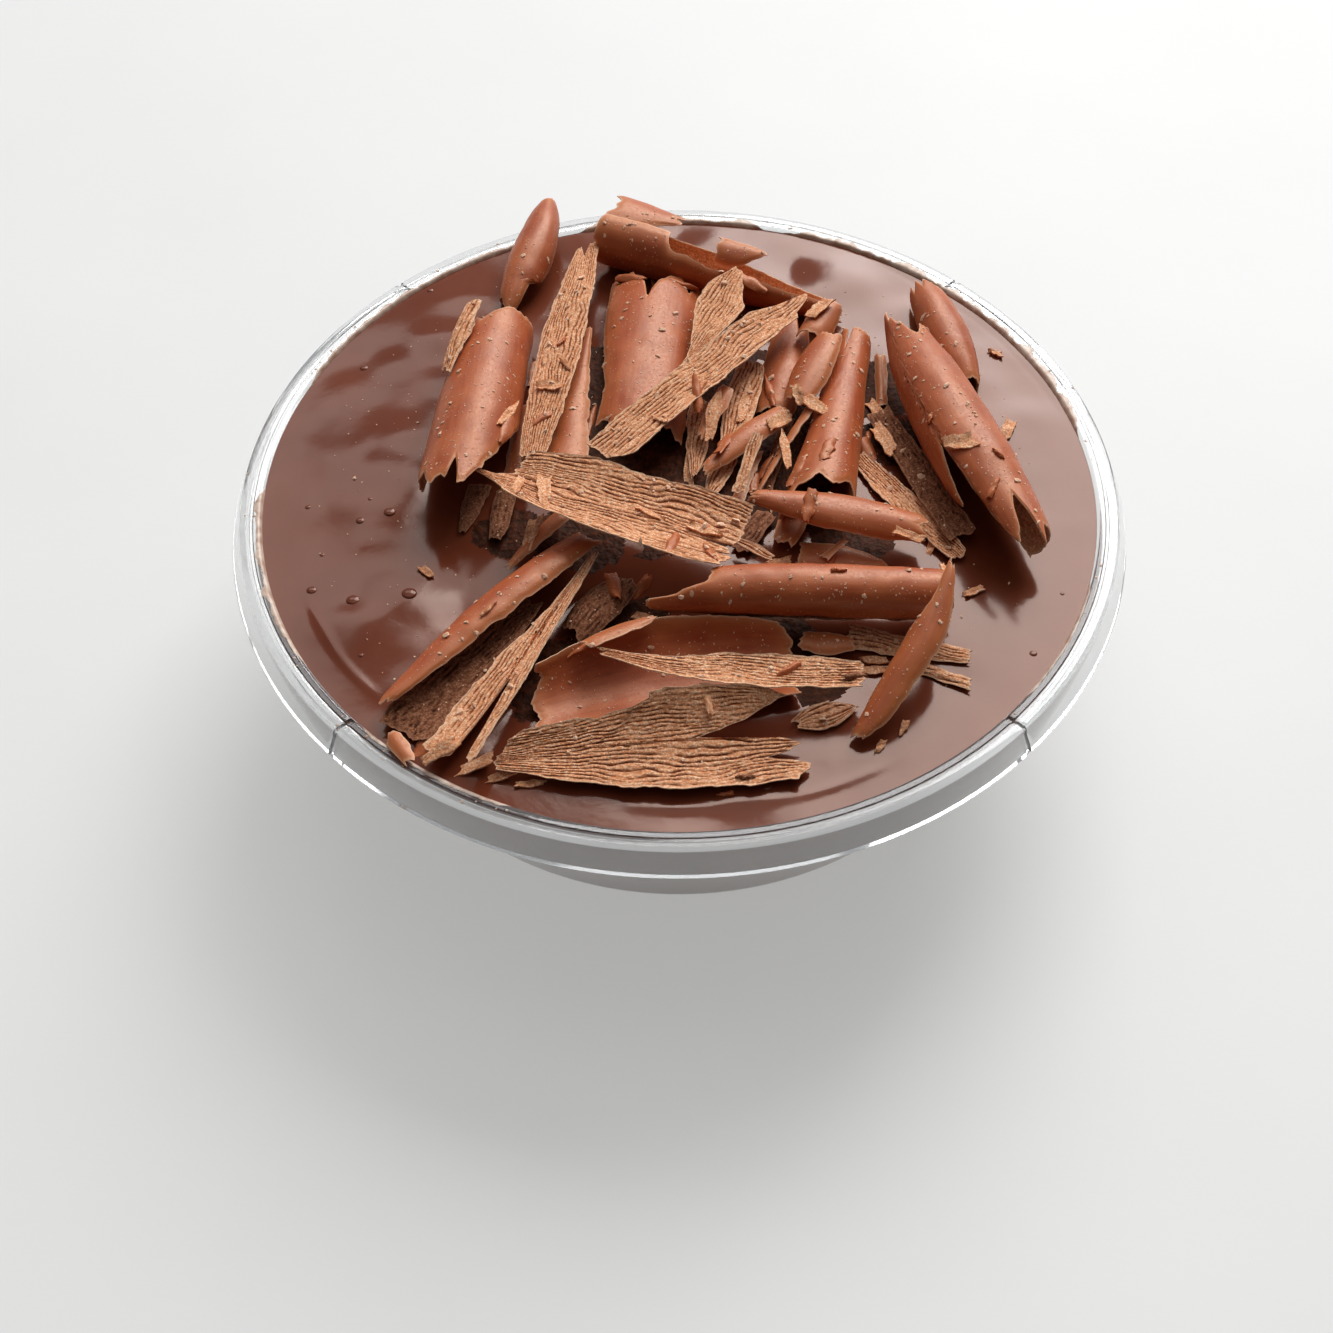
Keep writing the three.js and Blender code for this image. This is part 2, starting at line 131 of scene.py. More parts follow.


# The curls, from the sauce up: the two ends of the middle line, with heights
# over the sauce's level, how wide the curl stands at its start, middle and end,
# and how far it is rolled and turned, in degrees. bow and sway are how far its
# middle stands up and aside, ragged is how deep the teeth of its ends are, and
# polished is the side that the blade smoothed. head and tail are the ends: how
# far the edge stands beyond the end's line, at places across the sheet from 0
# to 1. low and high are the sides: the side's place across, at places along it.
# tears are narrow cracks: the end, the place across, the depth and half width.
# A face other than smooth or ribbed means the darker look of pieces that lie in shade, which is painted
# shade.
CURLS = [
    # In the sauce at the left
    curl("shard_left_low", "dull", (-27, -1, 1.5), (-29, -9, 1), (3.5, 3, 1), 50),
    curl("shard_left_inner", "dull", (-23.5, -2.5, 1.5), (-24.5, -11, 1.5), (3, 3, 2), 50),
    curl("curl_stub", "smooth", (-21, 14, 2), (-22.5, 0, 1.5), (3, 3.5, 3.5), 80),

    # The fan at the front left
    curl("curl_hidden", "dull", (-7, -19, 2), (-13.5, -28, 2), (4, 6, 4), 80, bow=0.5),
    curl("shaving_front_low", "dull", (-33, -43, 1.5), (-19, -22, 2), (8.5, 7, 3.5), 60, turn=180,
         ragged=1.5),
    curl("curl_front_left", "smooth", (-36, -39.5, 3), (-12, -13, 3.5), (1.8, 6.3, 5), 120, turn=30,
         bow=0.5, sway=0.5),
    curl("curl_front_left_top", "smooth", (-22.5, -16.5, 2), (-15.5, -8, 3), (1, 2.5, 3), 90, turn=20),
    curl("shaving_front_long", "ribbed", (-27, -46.5, 4), (-11.5, -16, 4), (8, 6, 2), 60, turn=200,
         bow=0.5, ragged=2,
         head={0: -1, 0.25: -2, 0.45: -1, 0.5: 3, 0.56: 11.5, 0.62: 12, 0.67: 7, 0.72: 3, 0.78: -1,
               0.9: -2, 1: -1},
         low={0: 0, 0.3: 0.03, 0.5: 0.15, 0.75: 0.35, 1: 0.4},
         tears=[("end", 0.55, 12, 0.4)]),

    # The front
    curl("curl_lower_middle", "smooth", (-18, -40, 3), (14, -33, 3), (9, 13, 10), 100, turn=165, sway=2,
         ragged=1.5, polished="inside",
         head={0: 1, 0.2: 2, 0.45: 0, 0.7: 0.5, 1: -1}),
    curl("chip_lower_middle", "smooth", (-12, -33, 6), (-3, -28.5, 6), (2, 3, 1), 50, turn=25),
    curl("chip_front_right", "smooth", (15.5, -29.5, 2.5), (22, -30, 2.5), (3, 3.5, 2), 60),
    curl("slat_front_right", "ribbed", (21.5, -28, 1.5), (37, -31, 1), (4, 3.5, 2), 40),
    curl("slat_front_outer", "ribbed", (30, -32.5, 1), (36.5, -35.5, 1), (2, 2, 2), 40),
    curl("flake_front_right", "ribbed", (14, -41.5, 1), (21.5, -39, 1), (1, 4, 1), 40, turn=180),
    curl("scrap_on_rim", "smooth", (-35, -43.5, 1.5), (-32.5, -47.5, 1.5), (2, 2.5, 1.5), 60),

    # The right
    curl("shaving_right_inner", "ribbed", (24.5, 4.5, 1.5), (37, -14.5, 1.5), (2.5, 4, 3), 50, turn=180,
         ragged=1.5),
    curl("shaving_right_outer", "dull", (28, 13, 2), (37.5, -11.5, 2.5), (3.5, 4.5, 4), 60, turn=180),
    curl("curl_under_middle", "smooth", (16, -13.5, 1.5), (27, -16, 1.5), (4, 4.5, 1.5), 60),
    curl("curl_right_back", "smooth", (37, 38, 2.5), (41.5, 18, 2), (4.5, 6.5, 3), 200, turn=10,
         bow=0.5,
         head={0: 0, 0.15: -1, 0.22: 1.5, 0.3: -1.5, 0.38: 0.8, 0.45: -1, 0.6: 1, 1: 0}),
    curl("curl_right_large", "smooth", (32.5, 26, 5), (45, -16, 6), (5, 10, 6.5), 300, turn=10, bow=0.5,
         sway=-1,
         head={0: -3, 0.08: -3.5, 0.12: -1.5, 0.16: -4, 0.22: -4.5, 0.27: -3, 0.31: -1, 0.34: -2,
               0.38: 0.5, 0.42: 1.5, 0.5: 5, 0.6: 2, 1: 0},
         tail={0: -12, 0.08: -9.5, 0.14: -9, 0.2: -11.5, 0.26: -16, 0.29: -18, 0.305: -0.5, 0.33: 2,
               0.4: 0, 0.44: -3, 0.48: -5, 0.52: -1, 0.54: 3.5, 0.6: 0}),

    # The back
    curl("curl_back_long", "smooth", (-11, 47.5, 5), (24, 32.5, 3), (7, 6.5, 3), (330, 285, 260),
         turn=(210, 222, 215), sway=0.5,
         high={0.27: 1, 0.31: 0.87, 0.4: 0.85, 0.5: 0.83, 0.6: 0.86, 0.8: 0.88, 0.95: 0.95, 1: 1}),
    curl("flap_back", "smooth", (-9, 52, 7.5), (0.5, 49, 6.5), (7.5, 6.5, 3), 60, turn=20, ragged=1.5,
         low={0: -0.25, 0.5: -0.2, 1: 0}),
    curl("sliver_back", "smooth", (6.5, 44.5, 6.5), (13, 42, 6), (2.4, 2.6, 1), 50,
         low={0: -1.1, 0.6: -0.7, 1: 0}),
    curl("curl_back_cone", "smooth", (-24.5, 36.5, 2.5), (-20, 57, 4.5), (4, 6.3, 1.8), 220, turn=10,
         bow=0.5, sway=-0.5,
         head={0: 0, 0.25: -2.5, 0.55: -2.8, 0.7: -1, 1: 0},
         low={0: 0.2, 0.1: 0.25, 0.2: 0.28, 0.23: 0.05, 0.3: 0}),
    curl("curl_back_middle", "smooth", (17.5, 32, 2.5), (13.5, 12, 2.5), (3.5, 6.5, 5.5), 110, bow=0.5,
         head={0.5: 0, 0.6: 2, 0.68: 4.5, 0.78: 3, 0.85: 0}),
    curl("curl_back_end", "smooth", (22.5, 31, 6), (19, 24.5, 5.5), (3.5, 4.5, 4.5), 150),

    # The middle
    curl("shard_centre_a", "ribbed", (3.5, 13.5, 3), (2, -0.5, 2.5), (4, 3.5, 0.8), 40, ragged=1.5),
    curl("shard_centre_b", "ribbed", (10.5, 20.5, 4), (6.5, 2, 3), (3.5, 4.5, 0.8), 40, ragged=1.5),
    curl("shard_centre_c", "smooth", (7, 14, 5.5), (3, 5, 4.5), (2.5, 2.5, 1), 60),
    curl("shard_centre_d", "smooth", (14.5, 10, 4.5), (3.5, -1, 4), (3.5, 4, 1.5), 90, bow=0.5),
    curl("shard_centre_e", "ribbed", (11, 4.5, 6), (8, -4.5, 3.5), (1.5, 2, 2), 40, turn=180),
    curl("slat_centre_a", "dull", (12, -6.5, 2), (8, -13.5, 2), (3, 3, 2.5), 40, turn=180),
    curl("slat_centre_b", "smooth", (16, -7, 2), (14, -12.5, 2.5), (4, 4, 3), 50),
    curl("shard_across_middle", "smooth", (22, -13.5, 4), (19, -15.5, 2.5), (1, 1, 1.5), 40,
         ragged=0.5),
    curl("sliver_centre", "ribbed", (7.5, -13, 3.5), (12.5, -16, 3), (1, 1.5, 1), 40, turn=180,
         ragged=0.5),
    curl("curl_right_centre", "smooth", (26, 27.5, 3.5), (19, -6, 5), (4, 6.5, 9), 210, ragged=1.5,
         tail={0: 3.5, 0.1: 5, 0.22: 4, 0.3: 1, 0.42: 0.5, 0.5: -1, 0.62: 0.5, 0.75: -1.5, 1: 0},
         tears=[("start", 0.42, 5, 0.5)]),
    curl("curl_right_lobe", "smooth", (21.5, 23, 6.5), (16.5, 10.5, 6), (4, 6, 4), 130, turn=-20),
    curl("strip_centre_right", "smooth", (19, 11, 6), (11, -3.5, 3), (2, 2, 1), 50, turn=-40,
         ragged=0.5),

    # The left and the top
    curl("curl_left_large", "smooth", (-26, 28, 5.5), (-29, -6, 6.5), (9.5, 11, 11.5), 220, turn=5,
         bow=0.5,
         head={0: 0, 0.3: 3, 0.4: 3.5, 0.5: 2, 0.6: 0.5, 0.7: 0},
         tail={0: -1, 0.25: 0, 0.33: 3, 0.4: 1.5, 0.47: 3.5, 0.55: 2.5, 0.62: 0, 1: -2},
         high={0.58: 1, 0.7: 0.85, 0.82: 0.75, 0.95: 0.66, 1: 0.64},
         tears=[("end", 0.47, 5, 0.8)]),
    curl("shaving_left_edge", "ribbed", (-29, 27, 9.5), (-32, 13.5, 9), (3, 3, 1.5), 140, turn=-30),
    curl("curl_wedge", "smooth", (-13, 30.5, 2), (-15.5, 1.5, 3), (1, 3.5, 7), 70, bow=0.5),
    curl("curl_broad", "smooth", (-3, 38.5, 3), (-5.5, 7, 4), (14, 13.5, 12), 110, turn=5, bow=1,
         ragged=2,
         head={0: -1, 0.06: -1.5, 0.14: 0.5, 0.2: -1.5, 0.25: -2, 0.3: 0.5, 0.35: 0, 0.4: 3, 0.43: 6.5,
               0.46: 3.5, 0.52: 1, 0.6: -0.5, 0.7: -1, 0.76: 0.5, 0.8: 2.5, 0.84: -1, 0.92: -1.5,
               1: 0},
         low={0.4: 0, 0.6: 0.05, 0.8: 0.08, 1: 0}),
    curl("shaving_triangle", "ribbed", (9.5, 36, 7.5), (0.5, 18.5, 6.5), (8, 7, 2), 30, turn=180,
         rib=0.55,
         head={0: 2, 0.3: 1, 0.5: -0.5, 0.7: -1, 0.85: 0.5, 1: 2},
         low={0: 0.5, 0.1: 0.3, 0.25: 0.08, 0.45: 0},
         high={0: 0.75, 0.15: 0.95, 0.35: 0.97, 0.6: 0.85, 0.75: 0.7, 0.9: 0.5, 1: 0.35}),
    curl("shaving_left_long", "ribbed", (-13.5, 44.5, 6), (-20, 0, 5.5), (3.5, 6.2, 3.5), 50, bow=0.5,
         ragged=2, rib=0.48,
         head={0: 3, 0.3: 0.5, 0.42: 2, 0.5: 3, 0.6: -0.5, 0.8: -1, 0.9: -0.5, 1: 1},
         low={0: 0.12, 0.08: 0.1, 0.2: 0.04, 0.3: 0}),
    curl("shaving_diagonal", "ribbed", (15.5, 28.5, 7.5), (-9, 0.5, 7), (6, 6.5, 6.5), 40, turn=180,
         bow=0.5, rib=0.66,
         head={0: 0.5, 0.2: -0.5, 0.35: -4, 0.5: -4.5, 0.6: -3, 0.75: 0.5, 0.9: 3, 1: 5},
         tail={0: -1, 0.4: 1.5}),
    curl("curl_front_roll", "smooth", (4, -24, 5.5), (34.5, -25, 5.5), (6, 6.5, 6), 400, bow=0.5,
         head={0.23: 0, 0.26: -4.5, 0.29: -7.5, 0.37: -8, 0.39: -5, 0.43: -3.5, 0.47: -0.5, 0.55: 0.3,
               1: 0}),
    curl("shaving_front_broad", "ribbed", (-21.5, -47, 2.5), (14, -44.5, 3.5), (5, 12.5, 11), 60,
         turn=160, bow=1, rib=0.62,
         head={0: 4, 0.2: 1, 0.4: 0, 0.7: -1, 1: 0},
         tail={0: -4, 0.08: -1, 0.2: -2.5, 0.35: -6, 0.5: -12, 0.53: -1.5, 0.6: 0.5, 0.68: -1,
               0.73: -3.5, 0.78: -0.5, 0.88: 1.5, 1: 0},
         low={0: 0.1, 0.35: 0.18, 0.45: 0.16, 0.5: 0.02, 1: 0},
         high={0: 0.9, 0.2: 0.96, 0.5: 1, 1: 1.04}),
    curl("shaving_front_narrow", "ribbed", (-9.5, -35, 7.5), (22.5, -37.5, 5.5), (1.5, 5.5, 4.5), 50,
         turn=180, sway=-1, rib=0.48,
         low={0: 0.2, 0.15: 0.3, 0.3: 0.2, 0.5: 0.05, 0.7: 0, 1: 0.05},
         high={0: 0.9, 0.2: 1, 0.5: 0.92, 0.8: 0.85}),
    curl("curl_across_middle", "smooth", (9.5, -8.5, 7), (32, -12.5, 5), (1.5, 6, 4), 130, bow=0.5),
    curl("curl_front_leaning", "smooth", (34, -24, 11), (22, -44, 1.5), (0.5, 5, 2.5), 130, bow=0.5,
         sway=1.5,
         low={0: 0.25, 0.2: 0.3, 0.3: 0.2, 0.4: 0},
         high={0.35: 1, 0.5: 0.86, 0.85: 0.88, 1: 0.75}),
    curl("shaving_centre_broad", "ribbed", (-22.5, -5.5, 9), (7.5, -16.5, 8), (7, 13, 11), 60, turn=180,
         bow=0.5, rib=0.7,
         head={0: 1.5, 0.3: 1, 0.5: 0.5, 0.6: -1, 0.7: -6.5, 0.78: -5, 0.88: -0.5, 1: 1},
         tail={0: 0.8, 0.3: 0, 0.5: 0.3, 0.6: 0, 0.63: -5, 0.67: -0.5, 0.76: 0.2, 0.79: -2.5, 0.82: 0.4,
               1: -0.5},
         low={0: 0, 0.3: 0.05, 0.55: 0.11, 0.8: 0.05, 1: 0},
         high={0: 1, 0.6: 1.02, 0.85: 1.12, 1: 1.1}),

    # Small ones low in the middle
    curl("shard_centre_f", "ribbed", (7.5, 5, 2), (4, -4, 2.5), (2.5, 3, 1.5), 40),
    curl("shard_centre_g", "smooth", (11, 5.5, 1.5), (8, -4.5, 1.5), (2, 2, 2), 50),
    curl("shard_centre_h", "dull", (15.5, 11, 2), (11.5, -4, 2), (2.5, 3, 2), 40, turn=-30),
    curl("curl_right_small", "smooth", (29.5, 25.5, 1), (29, 14.5, 1), (1.5, 2, 1.5), 90),
]

# Loose flakes: x and y of the middle, which way it points in degrees, its
# length and width, and its face where that isn't ribbed.
# Flakes with the darker third face lie in shade, and that darkness is painted shade.
FLAKES = [
    # On the curls
    (-23, 5.9, 72, 7.6, 1.3), (-18, 13.1, 0, 3.4, 2.2), (-18.8, 7, 40, 3, 1.2, "smooth"),
    (-15.8, 17.5, 120, 2.2, 1), (-16.5, 22, 60, 2, 0.8, "smooth"), (-2.5, 5.3, -30, 2.2, 1.1),
    (3.5, 12, 60, 2.4, 0.7), (-3.5, 40, 95, 5.5, 1, "smooth"), (18.7, 9.2, -35, 5.8, 2.4),
    (37.1, -2.5, 0, 3.8, 2.6), (34, 3.5, 70, 1.8, 1, "smooth"), (42, -5, 120, 1.6, 0.9, "smooth"),
    (20.3, 28.4, 50, 4, 2.4), (13.4, -37, 35, 3.2, 1.2, "smooth"), (3.2, -33, 80, 3, 0.6, "smooth"),
    (-12, -32, 20, 4.5, 1.8, "smooth"), (3.5, -41, 100, 3.4, 1), (12, -44, 70, 2, 0.9, "smooth"),
    (20, -24, 5, 2, 0.7, "smooth"), (-24, -27, 50, 2.6, 0.6),
    # Between them
    (14, 7.5, 40, 4.2, 2.2), (16.5, 10.5, 100, 3, 1.6), (12, 2, 65, 4, 1.6, "smooth"),
    (27.8, 14.2, 110, 5, 1.8), (26.5, 8, 80, 3, 1.2, "smooth"), (19.6, -16.4, 57, 4.2, 1.3, "smooth"),
    (13.5, -15, 30, 5, 1.6), (17, -11, 75, 4.5, 2, "smooth"), (-5.1, -19.6, 60, 4.5, 1.8, "smooth"),
    (-8.4, -20.5, 100, 5.5, 2.2, "smooth"), (-0.8, -18.6, 75, 5, 1.6, "smooth"),
    (4, -19.5, 110, 4, 1.4, "smooth"), (-4, -24.5, 160, 4, 1.6), (-7.6, -2.6, 20, 2.4, 1.6),
    (-15.5, 45.7, 110, 4.2, 1, "smooth"), (-7, 38.5, 150, 4.5, 1.6, "smooth"),
    (1, 37.5, 170, 4, 1.4, "smooth"), (-19.5, -12, 75, 5, 2), (-17.5, -9, 95, 5.5, 2.2),
    (-21, -8, 80, 4, 1.5), (4.9, 8.3, 80, 7.5, 2.2), (9.3, 12.5, 80, 7.5, 1.6),
    (12.8, 15.5, 100, 6.5, 1.4, "smooth"), (6.3, 3.5, 70, 6, 1.8, "smooth"), (14.5, 2.2, 95, 6.5, 1.6),
    (10.4, -1.5, 85, 5.5, 1.5, "smooth"), (17.2, 4.5, 75, 5.5, 1.3),
    (2.6, 10.2, 95, 5.5, 1.5, "smooth"), (15.8, -3.5, 65, 5, 1.8, "smooth"),
    (12.5, -4.5, 110, 4.5, 1.4), (26.5, 5.5, 120, 5, 2.4, "smooth"), (-23.5, 3, 80, 6, 2.5, "smooth"),
    (-0.6, -24.5, 10, 4, 1.6, "smooth"), (24.9, -31.5, 0, 3.5, 1.6), (33.5, -12.3, 70, 3, 1.4),
    (30, -14.3, 170, 4, 1.4), (-21, 22, 85, 5, 1.6, "smooth"), (11, 36.2, 150, 5, 2.2, "smooth"),
    (1.5, 1, 85, 5.5, 2), (-12.2, 12, 80, 6, 1.4, "smooth"), (28.5, 6.5, 115, 5.5, 2.2),
    (20, -0.5, 75, 4.5, 2.2, "smooth"), (3.3, -15.5, 160, 4.5, 1.6), (-3.8, -12.8, 150, 4, 1.2),
    (24.3, -33, 0, 4, 1.6),
    # On the sauce
    (46.3, 10, 65, 3.4, 2), (46.4, 26, -20, 2, 1.2), (24.5, -44.6, 60, 2.2, 1.1),
    (27.6, -41.9, 70, 2.4, 1.2), (-33.3, -16.3, 130, 2.4, 1.2), (5.4, -51.6, 10, 2, 0.8, "smooth"),
    (7.9, -49.9, 0, 2.2, 0.9, "dull"), (40.7, -10.5, 60, 3, 1, "smooth"), (38.5, -20, 30, 3, 1.2),
    (33.5, -22.5, 100, 2.4, 1.2), (31, -18, 170, 4, 1.8), (-25.3, -47.5, 15, 5.5, 2.2),
    (-28.9, -46.8, 30, 4.5, 2), (-31.5, -44.5, 60, 4, 2.4, "smooth"), (-22, -49, 10, 5, 1.6),
    (-18, -50, 5, 3.5, 1), (21.5, -37.5, 20, 3, 1, "dull"),
]
FLAKE_ROWS = 13
FLAKE_COLUMNS = 8
FLAKE_LIFT = 0.14
STEEPEST_LEAN = 0.3
DEEPEST_SAG = 0.45

# Crumbs strewn over the heap and the sauce: how many are tried, the smallest
# and largest half size, and the share of those on the sauce that are kept.
CRUMBS = [
    (3200, 0.07, 0.16, 0.22),
    (620, 0.16, 0.34, 0.08),
    (90, 0.35, 0.6, 0.03),
]
CRUMB_REACH = 50
CRUMB_SEED = 11
DUST_SIZE = 0.2
STEEPEST_SIDE = 0.35

# Film of sauce smeared over the mouth's edge: from and to which angle, in
# degrees, and how far it reaches over the flange.
SMEARS = [
    (180, 214, 0.9), (108, 160, 0.5), (76, 106, 1.0),
    (8, 74, 1.2), (226, 250, 0.5), (318, 342, 0.2),
]
SMEAR_STEP = 0.3
SMEAR_COLUMNS = 9
DROPS = 60
DROP_SEED = 5

# Bubbles in the sauce: x and y, radius.
BUBBLES = [
    (-39.1, -5.6, 0.8), (-43, -6.9, 0.6), (-48.2, -18.8, 0.7), (-42.5, -20.8, 0.9),
    (-35.2, -20, 1.0), (-47.6, -12.5, 0.35), (-42, -3.2, 0.3), (-45.8, 24, 0.6),
    (-37.5, 41, 0.5), (-50.5, -4, 0.4), (-40.5, -30, 0.35), (33, 33, 0.4),
    (10.5, -50.5, 0.6), (12, -47.5, 0.5), (45, -30, 0.5), (50, -20, 0.3),
]

# In metres: the height from which the heap's top is looked for, and the
# floor's half width and gap. Then the camera, its place in millimetres.
RAY_START = 0.1
FLOOR_SPAN = 8.0
FLOOR_GAP = 0.0003
LENS = 49.05
SENSOR_WIDTH = 36
CAMERA_PLACE = (0, -174.8, 179.6 + CUP_HEIGHT)
CAMERA_AIM = (-0.00698, 0.62175, -0.78318)
CAMERA_ROLL = math.radians(-0.728)


# --- Numbers that vary over a surface ---


def scattered(phase):
    """A fixed scatter of numbers from 0 to 1: near phases give unrelated ones."""
    wave = np.sin(phase) * 43758.5453
    return wave - np.floor(wave)


def scatter(seed, n):
    return scattered(seed * 78.233 + n * 12.9898)


def lattice(ix, iy, seed):
    return scattered(ix * 127.1 + iy * 311.7 + seed * 74.7)


def noise(x, y, seed):
    """Smooth lumps about one unit across, from -1 to 1."""
    ix, iy = np.floor(x), np.floor(y)
    fx, fy = x - ix, y - iy
    fx, fy = fx * fx * (3 - 2 * fx), fy * fy * (3 - 2 * fy)
    low = lattice(ix, iy, seed) * (1 - fx) + lattice(ix + 1, iy, seed) * fx
    high = lattice(ix, iy + 1, seed) * (1 - fx) + lattice(ix + 1, iy + 1, seed) * fx
    return 2 * (low * (1 - fy) + high * fy) - 1


def smoothstep(x):
    x = np.clip(x, 0, 1)
    return x * x * (3 - 2 * x)


def along(value, t):
    """A value along the curl: one number, or three for its start, middle and end."""
    if isinstance(value, (int, float)):
        return np.full_like(t, float(value))
    start, middle, end = value
    return start * (1 - t) * (1 - 2 * t) + 4 * middle * t * (1 - t) + end * t * (2 * t - 1)


def profile(knots, t, otherwise=0):
    """A line through knots, which are values at places from 0 to 1."""
    return np.interp(t, list(knots), list(knots.values())) if knots else otherwise


def grid_places(rows, columns, first=0):
    """Places over a grid, from first to 1 along its rows and along its columns."""
    down = np.linspace(first, 1, rows)[:, None] * np.ones(columns)[None, :]
    across = np.linspace(first, 1, columns)[None, :] * np.ones(rows)[:, None]
    return down, across


# --- Meshes ---


def made(name, points, faces, materials, face_materials=None, uvs=None, values=None, sharp=50):
    """A mesh object from points in millimetres and arrays of faces, of three or
    four corners each. uvs and values, which are named numbers, are per point."""
    mesh = bpy.data.meshes.new(name)
    faces = [face for group in faces for face in group.tolist()]
    mesh.from_pydata((points * MM).tolist(), [], faces, shade_flat=False)
    for look in materials:
        mesh.materials.append(look)
    if face_materials is not None:
        mesh.polygons.foreach_set("material_index", np.asarray(face_materials, np.int32))
    mesh.update(calc_edges=True)
    mesh.validate()
    mesh.set_sharp_from_angle(angle=math.radians(sharp))
    if uvs is not None:
        layer = mesh.uv_layers.new(name="sheet")
        layer.uv.foreach_set("vector", uvs[np.concatenate(faces)].astype(np.float32).ravel())
    for key, value in (values or {}).items():
        attribute = mesh.attributes.new(key, "FLOAT", "POINT")
        attribute.data.foreach_set("value", np.asarray(value, np.float32))
    piece = bpy.data.objects.new(name, mesh)
    bpy.context.scene.collection.objects.link(piece)
    return piece


def grid_faces(rows, columns, offset=0, flip=False):
    """Quads over a grid of points numbered row by row."""
    corner = offset + np.arange(rows - 1)[:, None] * columns + np.arange(columns - 1)[None, :]
    a, b, c, d = corner, corner + 1, corner + columns + 1, corner + columns
    order = (a, b, c, d) if flip else (a, d, c, b)
    return np.stack([q.ravel() for q in order], axis=1)


def thin_body(upper, lower, flip=False):
    """Points and faces of a thin body: an upper grid of points, a lower one
    after it, and the rim between."""
    rows, columns = upper.shape[:2]
    count = rows * columns
    ring = np.concatenate([
        np.arange(columns),
        np.arange(1, rows) * columns + columns - 1,
        (rows - 1) * columns + np.arange(columns - 2, -1, -1),
        np.arange(rows - 2, 0, -1) * columns,
    ])
    after = np.roll(ring, -1)
    rim = np.stack([ring, after, after + count, ring + count], axis=1)
    faces = np.concatenate([grid_faces(rows, columns), grid_faces(rows, columns, count, flip=True), rim])
    points = np.concatenate([upper.reshape(-1, 3), lower.reshape(-1, 3)])
    return points, faces[:, ::-1] if flip else faces


# --- Materials ---

UV_SPAN = 60
WARM_SHEEN = (1.0, 0.79, 0.6, 1)
WET_SHEEN = (1.0, 0.81, 0.71, 1)
# The orange of light shining through thin chocolate, painted as a glow at the thin edges.
THIN_EDGE_GLOW = (0.58, 0.19, 0.055)


class Nodes:
    """A tree of nodes, made one call at a time."""

    def __init__(self, tree):
        self.tree = tree

    def fill(self, node, sockets):
        """Link or set a node's sockets; a colour may leave out its alpha."""
        for key, value in sockets.items():
            socket = node.inputs[key]
            if isinstance(value, bpy.types.NodeSocket):
                self.tree.links.new(value, socket)
            elif socket.type == "RGBA" and len(value) == 3:
                socket.default_value = (*value, 1.0)
            else:
                socket.default_value = value

    def node(self, kind, output, sockets, **settings):
        """One output of a new node with its settings and sockets filled in."""
        made_node = self.tree.nodes.new(kind)
        for key, value in settings.items():
            setattr(made_node, key, value)
        self.fill(made_node, sockets)
        return made_node.outputs[output]

    def ramp(self, value, low, high, start=0.0, end=1.0):
        """value from low..high to start..end, held at both ends."""
        ends = {"From Min": low, "From Max": high, "To Min": start, "To Max": end}
        return self.node("ShaderNodeMapRange", "Result", {"Value": value, **ends}, clamp=True)


class Look(Nodes):
    """A material round one shader."""

    def __init__(self, name):
        self.material = bpy.data.materials.new(name)
        self.material.use_nodes = True
        super().__init__(self.material.node_tree)

    def done(self, **sockets):
        """Fill the shader's own sockets: the finished material."""
        named = {key.replace("_", " "): value for key, value in sockets.items()}
        self.fill(self.tree.nodes["Principled BSDF"], named)
        return self.material

    def attribute(self, name):
        return self.node("ShaderNodeAttribute", "Fac", {}, attribute_name=name)

    def object_place(self, *units):
        """Places on the object itself: how many units fit in a millimetre."""
        place = self.node("ShaderNodeTexCoord", "Object", {})
        scale = [part / MM for part in (units if len(units) == 3 else units * 3)]
        return self.node("ShaderNodeMapping", "Vector", {"Vector": place, "Scale": scale})

    def sheet_place(self, lengthwise, crosswise):
        """Places along and across a curl's sheet, in units per millimetre."""
        place = self.node("ShaderNodeUVMap", "UV", {}, uv_map="sheet")
        scale = (lengthwise * UV_SPAN, crosswise * UV_SPAN, 1)
        return self.node("ShaderNodeMapping", "Vector", {"Vector": place, "Scale": scale})

    def noise(self, place, detail=3.0, roughness=0.5):
        sockets = {"Vector": place, "Scale": 1.0, "Detail": detail, "Roughness": roughness}
        return self.node("ShaderNodeTexNoise", "Fac", sockets)

    def lumps(self, units, **more):
        return self.noise(self.object_place(units), **more)

    def plus(self, first, second):
        return self.node("ShaderNodeMath", "Value", {0: first, 1: second}, operation="ADD")

    def times(self, first, second):
        return self.node("ShaderNodeMath", "Value", {0: first, 1: second}, operation="MULTIPLY")

    def mix(self, share, first, second):
        sockets = {"Factor": share, "A": first, "B": second}
        return self.node("ShaderNodeMix", "Result", sockets, data_type="RGBA")

    def bump(self, height, distance, strength, after=None):
        """Relief a distance high in millimetres, laid over other relief."""
        sockets = {"Height": height, "Distance": distance * MM, "Strength": strength}
        if after is not None:
            sockets["Normal"] = after
        return self.node("ShaderNodeBump", "Normal", sockets)


